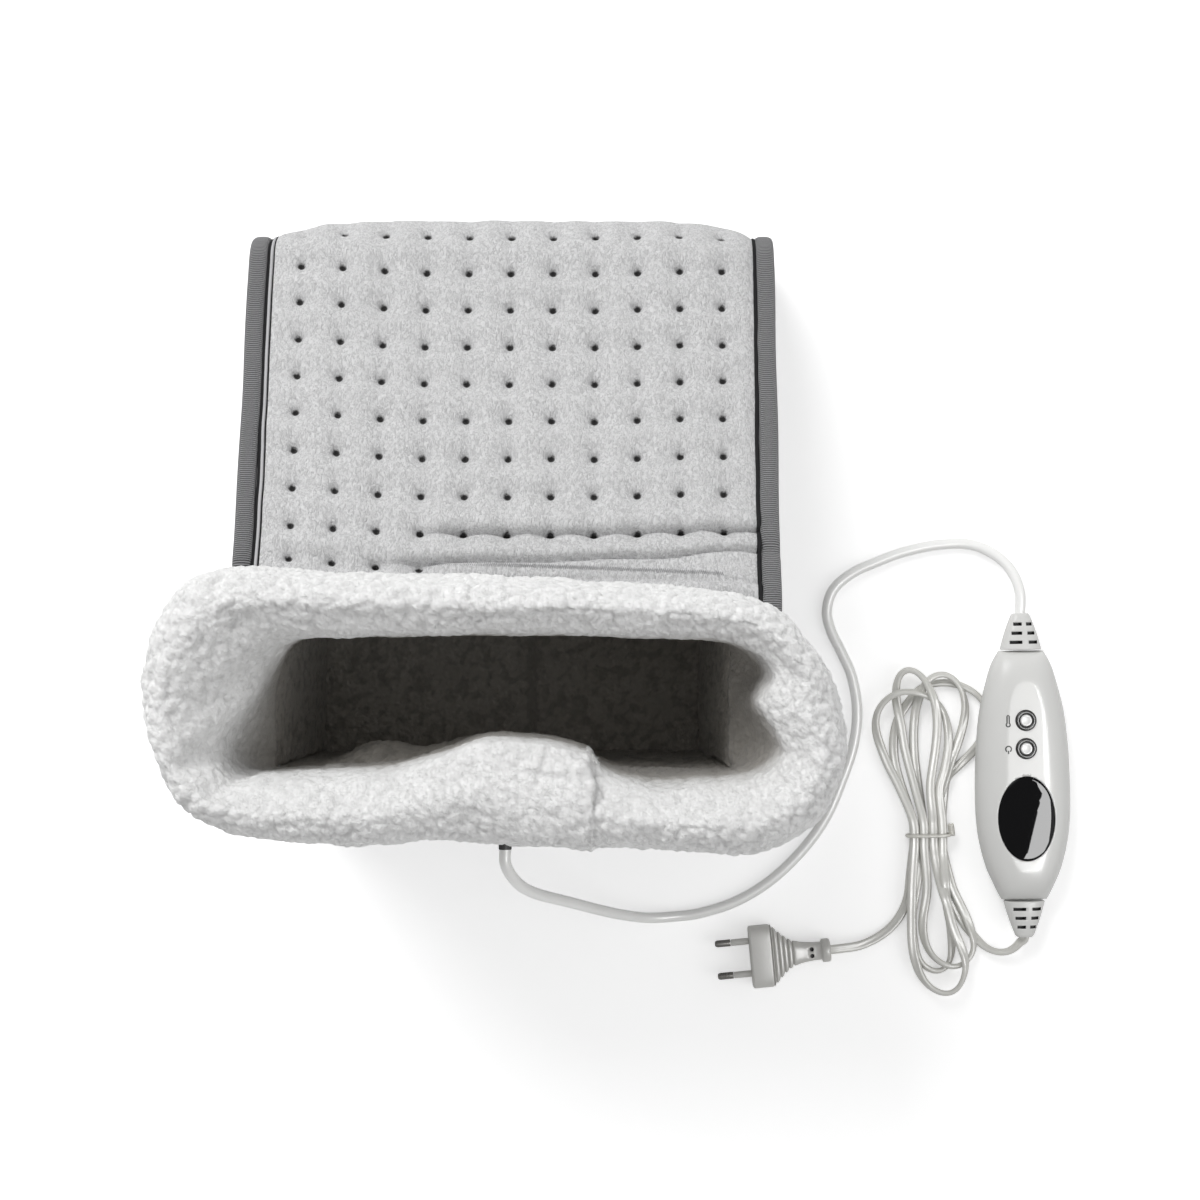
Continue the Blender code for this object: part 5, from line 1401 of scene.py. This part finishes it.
def buildThroatRoll():
    # fleece turned over the end of the panel, inside the front of the opening
    (y, z), (deep, high) = throatRoll["middle"], throatRoll["size"]
    sections = []
    for k in range(61):
        x = throatRoll["half"] * (k / 30 - 1)
        full = 1 + 0.12 * noise.noise(Vector((x * 60, 4.0, 1.0)))
        sections.append([Vector(drawnIn((x, y + deep * full * math.cos(turn),
                                         z + high * math.sin(turn))))
                         for turn in np.linspace(0, math.tau, 24, endpoint=False)])
    roll = sweepSections("throatRoll", sections, liningFleece, slot="sherpa")
    # a fixed clump value: a light painted shade over the whole roll
    keepValues(roll.data, "clump", np.full(len(roll.data.vertices), 0.4))


buildThroatRoll()
print("lining made")

soleCloth = grainMaterial("soleCloth", (0.10, 0.10, 0.105), 0.8, 1200, 60, 0.03, 0.0002, sheen=0.2)
padFoam = grainMaterial("padFoam", (0.42, 0.42, 0.43), 0.9, 1000, 60, 0.03, 0.0003)


def roundSlab(name, low, high, look, node, slot, edge):
    bm = bmesh.new()
    left, right = -pouch["halfBody"], pouch["halfBody"]
    back, front, corner = -pouch["heel"], pouch["toe"], 0.012
    ring = []
    for cx, cy, quarter in ((right - corner, front - corner, 0), (left + corner, front - corner, 1),
                            (left + corner, back + corner, 2), (right - corner, back + corner, 3)):
        for k in range(13):
            angle = math.radians(90) * (quarter + k / 12)
            ring.append(bm.verts.new((cx + corner * math.cos(angle),
                                      cy + corner * math.sin(angle), low)))
    face = bm.faces.new(ring)
    raised = newVerts(bmesh.ops.extrude_face_region(bm, geom=[face]))
    bmesh.ops.translate(bm, verts=raised, vec=(0, 0, high - low))
    borders = [e for e in bm.edges if len(e.link_faces) == 2
               and abs(e.verts[0].co.z - e.verts[1].co.z) < 1e-6
               and any(len(f.verts) == 4 for f in e.link_faces)]
    bmesh.ops.recalc_face_normals(bm, faces=bm.faces)
    bmesh.ops.bevel(bm, geom=borders, offset=edge, offset_type="OFFSET", segments=3, profile=0.5,
                    affect="EDGES", material=-1)
    return linkMesh(name, finishMesh(name, bm, angle=50), look, replaced=(node,), slot=slot)


sole = roundSlab("soleSheet", 0.0, 0.003, soleCloth, "outer_sole", "sole_cloth", 0.0010)
pad = roundSlab("solePadding", 0.0033, 0.0103, padFoam, "sole_pad", "padding", 0.0025)

# Cuff: a thick fleece ring. Each station has its outer and its inner place in the photograph,
# the share of the wall where it is highest, and the height of the inner place
cuff = {"top": 0.2470, "bottom": 0.1660, "stationsRound": 860, "stationsAcross": 176,
        "clump": 0.0050, "clumpHeight": 0.0018, "outerHeight": 0.210,
        "throat": (-0.1122, 0.1130, -0.1262, -0.0600), "middle": (0.008, -0.093),
        "seam": 0.0462, "step": 0.0034, "inset": 0.0012, "foldPitch": 0.0029, "foldHeight": 0.0016}
cuffStations = (
    (145, 706, 238, 736, 0.34, 0.200), (143, 660, 257, 700, 0.34, 0.196),
    (158, 616, 274, 664, 0.36, 0.200), (186, 580, 286, 644, 0.42, 0.212),
    (232, 565, 304, 638, 0.46, 0.222), (300, 568, 345, 637, 0.48, 0.226),
    (400, 572, 420, 636, 0.48, 0.226), (500, 574, 510, 635, 0.48, 0.226),
    (600, 579, 600, 636, 0.48, 0.226), (690, 586, 680, 639, 0.48, 0.226),
    (752, 596, 728, 643, 0.48, 0.226), (796, 622, 756, 656, 0.48, 0.224),
    (830, 668, 768, 676, 0.46, 0.224), (844, 708, 756, 702, 0.46, 0.224),
    (848, 742, 773, 730, 0.46, 0.224), (842, 784, 781, 750, 0.46, 0.222),
    (818, 824, 766, 767, 0.47, 0.222), (782, 848, 735, 777, 0.48, 0.224),
    (735, 856, 695, 780, 0.48, 0.224), (670, 852, 655, 783, 0.48, 0.224),
    (622, 850, 618, 776, 0.48, 0.226), (597, 849, 597, 766, 0.50, 0.228),
    (580, 849, 582, 752, 0.50, 0.236), (530, 848, 532, 742, 0.50, 0.236),
    (480, 844, 484, 741, 0.50, 0.236), (430, 842, 440, 755, 0.50, 0.232),
    (370, 841, 385, 769, 0.48, 0.226), (309, 838, 325, 773, 0.48, 0.224),
    (240, 829, 268, 777, 0.46, 0.222), (190, 804, 238, 773, 0.42, 0.216),
    (160, 768, 229, 760, 0.36, 0.206),
)


def buildCuffRails():
    # closed rails from the outer foot over the crest to the inner foot
    rails = [[] for k in range(11)]
    left, right, back, front = cuff["throat"]
    for u, v, innerU, innerV, crestShare, innerHeight in cuffStations:
        out2 = Vector(fromPhoto(u, v, cuff["outerHeight"])[:2])
        in2 = Vector(fromPhoto(innerU, innerV, innerHeight)[:2])
        away = (out2 - in2).normalized()
        out2 -= away * cuff["inset"] * (1 if v < 800 or u > 400 else -2)
        crest = out2.lerp(in2, crestShare)
        foot = out2 - away * 0.004
        throat = Vector((min(right, max(left, in2.x)), min(front, max(back, in2.y))))
        top = cuff["top"]
        rails[0].append((*foot, cuff["bottom"]))
        rails[1].append((*(out2 - away * 0.001), 0.183))
        rails[2].append((*out2, 0.206))
        rails[3].append((*(out2 - away * 0.0035), top - 0.016))
        rails[4].append((*(out2.lerp(crest, 0.45)), top - 0.0055))
        rails[5].append((*crest, top))
        rails[6].append((*(crest.lerp(in2, 0.45)), top - 0.005 - 0.2 * (top - innerHeight - 0.02)))
        rails[7].append((*(crest.lerp(in2, 0.86)), innerHeight + 0.42 * (top - innerHeight)))
        rails[8].append((*in2, innerHeight - 0.004))
        rails[9].append((*(in2.lerp(throat, 0.30)), 0.184))
        rails[10].append((*throat, cuff["bottom"]))
    return [resample(smoothCurve(rail, 24, closed=True), cuff["stationsRound"], closed=True)
            for rail in rails]


def buildCuff():
    rails = buildCuffRails()
    around, across = cuff["stationsRound"], cuff["stationsAcross"]
    lines = np.stack([smoothCurve([tuple(rail[k]) for rail in rails], 16) for k in range(around)])
    rings = np.stack([resample(lines[k], across + 1) for k in range(around)])
    bm = bmesh.new()
    bmesh.ops.create_grid(bm, x_segments=around, y_segments=across, size=1)
    for vert in bm.verts:
        i = round((vert.co.x + 1) / 2 * around) % around
        j = round((vert.co.y + 1) / 2 * across)
        vert.co = rings[i, j]
    bmesh.ops.remove_doubles(bm, verts=bm.verts, dist=1e-6)
    bmesh.ops.bridge_loops(bm, edges=[e for e in bm.edges if e.is_boundary])
    mesh = finishMesh("fleeceCuff", bm, angle=0)
    co, normal = meshArrays(mesh)
    # the inner face is smoother, and its colour takes painted shade on its way down into the pouch
    middle = np.array(cuff["middle"])
    inwards = np.einsum("ij,ij->i", normal[:, :2], middle - co[:, :2]) > 0
    facing = normal[:, 2]
    calm = np.where(inwards, 0.55 + 0.45 * smoothstep((facing - 0.50) / 0.28), 1.0)
    moved, stands = clumped(co, normal, cuff["clump"], cuff["clumpHeight"], calm)
    keepValues(mesh, "clump", stands * calm + 0.6 * (1 - calm))
    shadeTop = (0.238 - 0.024 * smoothstep((-0.05 - co[:, 0]) / 0.04)
            + 0.006 * smoothstep((co[:, 0] - 0.07) / 0.03))
    keepValues(mesh, "depth", np.where(inwards, smoothstep((shadeTop - co[:, 2]) / 0.050), 0.0))
    # slanting folds on the inner face at the left
    slanting = np.sin((0.78 * co[:, 1] - 0.62 * co[:, 0]) / cuff["foldPitch"])
    sided = inwards * smoothstep((-0.098 - co[:, 0]) / 0.016) * smoothstep((0.85 - facing) / 0.25)
    folds = cuff["foldHeight"] * sided * slanting * smoothstep((co[:, 2] - 0.19) / 0.02)
    moved += normal * folds[:, None]
    # the overlap at the back: its left part stands over the right part at a short upright seam
    behind = smoothstep((-0.112 - co[:, 1]) / 0.012)
    left = cuff["seam"] - co[:, 0]
    step = cuff["step"] * smoothstep(left / 0.0012) * np.exp(-np.maximum(left, 0) / 0.035)
    moved += normal * (behind * step * np.clip(facing + 0.2, 0, 1))[:, None]
    mesh.vertices.foreach_set("co", moved.ravel())
    mesh.update()
    return linkMesh("fleeceCuff", mesh, cuffFleece, replaced=("cuff",), slot="sherpa")


cuffPiece = buildCuff()

hemTape = grainMaterial("hemTape", (0.12, 0.12, 0.13), 0.8, 1100, 90, 0.06, 0.0003)


def buildHem():
    # the tape follows the cuff's lower edge round the back
    line = []
    for u, v, innerU, innerV, crestShare, innerHeight in cuffStations[14:] + cuffStations[:1]:
        outer = Vector(fromPhoto(u, v, cuff["outerHeight"])[:2])
        away = (outer - Vector(fromPhoto(innerU, innerV, innerHeight)[:2])).normalized()
        peek = 0.0022 * math.exp(-((u - 530) / 90) ** 2) * (v > 800)
        line.append((*(outer + away * (peek - 0.0048)), cuff["bottom"] - 0.0008))
    curvePiece("hemBand", smoothCurve(line, 12), 0.0032, hemTape, 3, replaced=("cuff_hem_tape",),
               slot="binding")


buildHem()
print("cuff made")

# Finishes of the solids that stay as they are
looks = {
    "lead_grommet": holeShadeAndGrommetBlack,
    "inner_lead_upper": leadJacket,
    "inner_lead_lower": leadJacket,
    "heater_felt": grainMaterial("heaterFelt", (0.55, 0.53, 0.50), 0.95, 900, 60, 0.05, 0.0004),
    "heating_wire": grainMaterial("wireJacket", (0.62, 0.60, 0.56), 0.5, 900, 60, 0.03, 0.00005),
    "thermal_cutout": grainMaterial("cutoutCase", (0.05, 0.05, 0.05), 0.4, 900, 60, 0.05, 0.00005),
    "display_module": grainMaterial("displayModule", (0.03, 0.03, 0.03), 0.4, 900, 60, 0.05, 0.0),
    "temp_switch": grainMaterial("switchBody", (0.04, 0.04, 0.04), 0.5, 900, 60, 0.05, 0.0),
    "circuit_board": grainMaterial("boardGreen", (0.03, 0.16, 0.07), 0.45, 700, 60, 0.05, 0.00003),
    "case_screw_1": pinMetal,
}
looks["power_switch"] = looks["temp_switch"]
looks["case_screw_2"] = pinMetal
for node, look in looks.items():
    setLook(nodes[node], look)

# Floor and plain soft light
stage = {"floor": 3.0, "world": 0.50, "card": 48.0, "lift": 0.36, "lamps": (
            ("keyLamp", (-1.5, 2.3, 2.4), 92.0, 2.2), ("fillLamp", (2.2, -1.0, 1.7), 11.0, 1.8)),
         "aim": (0.05, -0.05, 0.05), "cardSize": (0.65, 0.6), "cardTurn": -13.5,
         "cardCorner": (0.591, -0.314, 1.5)}


def buildStage():
    bm = bmesh.new()
    bmesh.ops.create_grid(bm, x_segments=1, y_segments=1, size=stage["floor"])
    floor = looseObject("floor", finishMesh("floor", bm))
    look, tree, shader = newMaterial("paleFloor", (0.96, 0.96, 0.96), 0.8)
    shader.inputs["Specular IOR Level"].default_value = 0.1
    seen = tree.nodes.new("ShaderNodeLightPath")  # lifts the seen floor to white, shadow kept
    shader.inputs["Emission Color"].default_value = (1, 1, 1, 1)
    tree.links.new(mathNode(tree, "MULTIPLY", seen.outputs["Is Camera Ray"], stage["lift"]),
                   shader.inputs["Emission Strength"])
    floor.data.materials.append(look)
    world = bpy.data.worlds.new("softWhite")
    world.use_nodes = True
    background = world.node_tree.nodes["Background"]
    background.inputs["Color"].default_value = (1, 1, 1, 1)
    background.inputs["Strength"].default_value = stage["world"]
    bpy.context.scene.world = world
    for name, place, power, size in stage["lamps"]:
        data = bpy.data.lights.new(name, "AREA")
        data.shape = "DISK"
        data.size = size
        data.energy = power
        lamp = looseObject(name, data)
        lamp.location = place
        lamp.rotation_euler = (Vector(place) - Vector(stage["aim"])).to_track_quat(
            "Z", "Y").to_euler()
    # a bright card that the display and the case mirror on their right
    data = bpy.data.lights.new("cardLamp", "AREA")
    data.shape = "RECTANGLE"
    data.size, data.size_y = stage["cardSize"]
    data.energy = stage["card"]
    card = looseObject("cardLamp", data)
    turn, half = math.radians(stage["cardTurn"]), data.size / 2
    corner = Vector(stage["cardCorner"])
    card.location = corner + Vector((half * math.cos(turn), half * math.sin(turn), 0))
    card.rotation_euler = (0, 0, turn)
    card.visible_diffuse = False


buildStage()
bpy.context.scene.view_settings.view_transform = "Standard"
print("stage set")
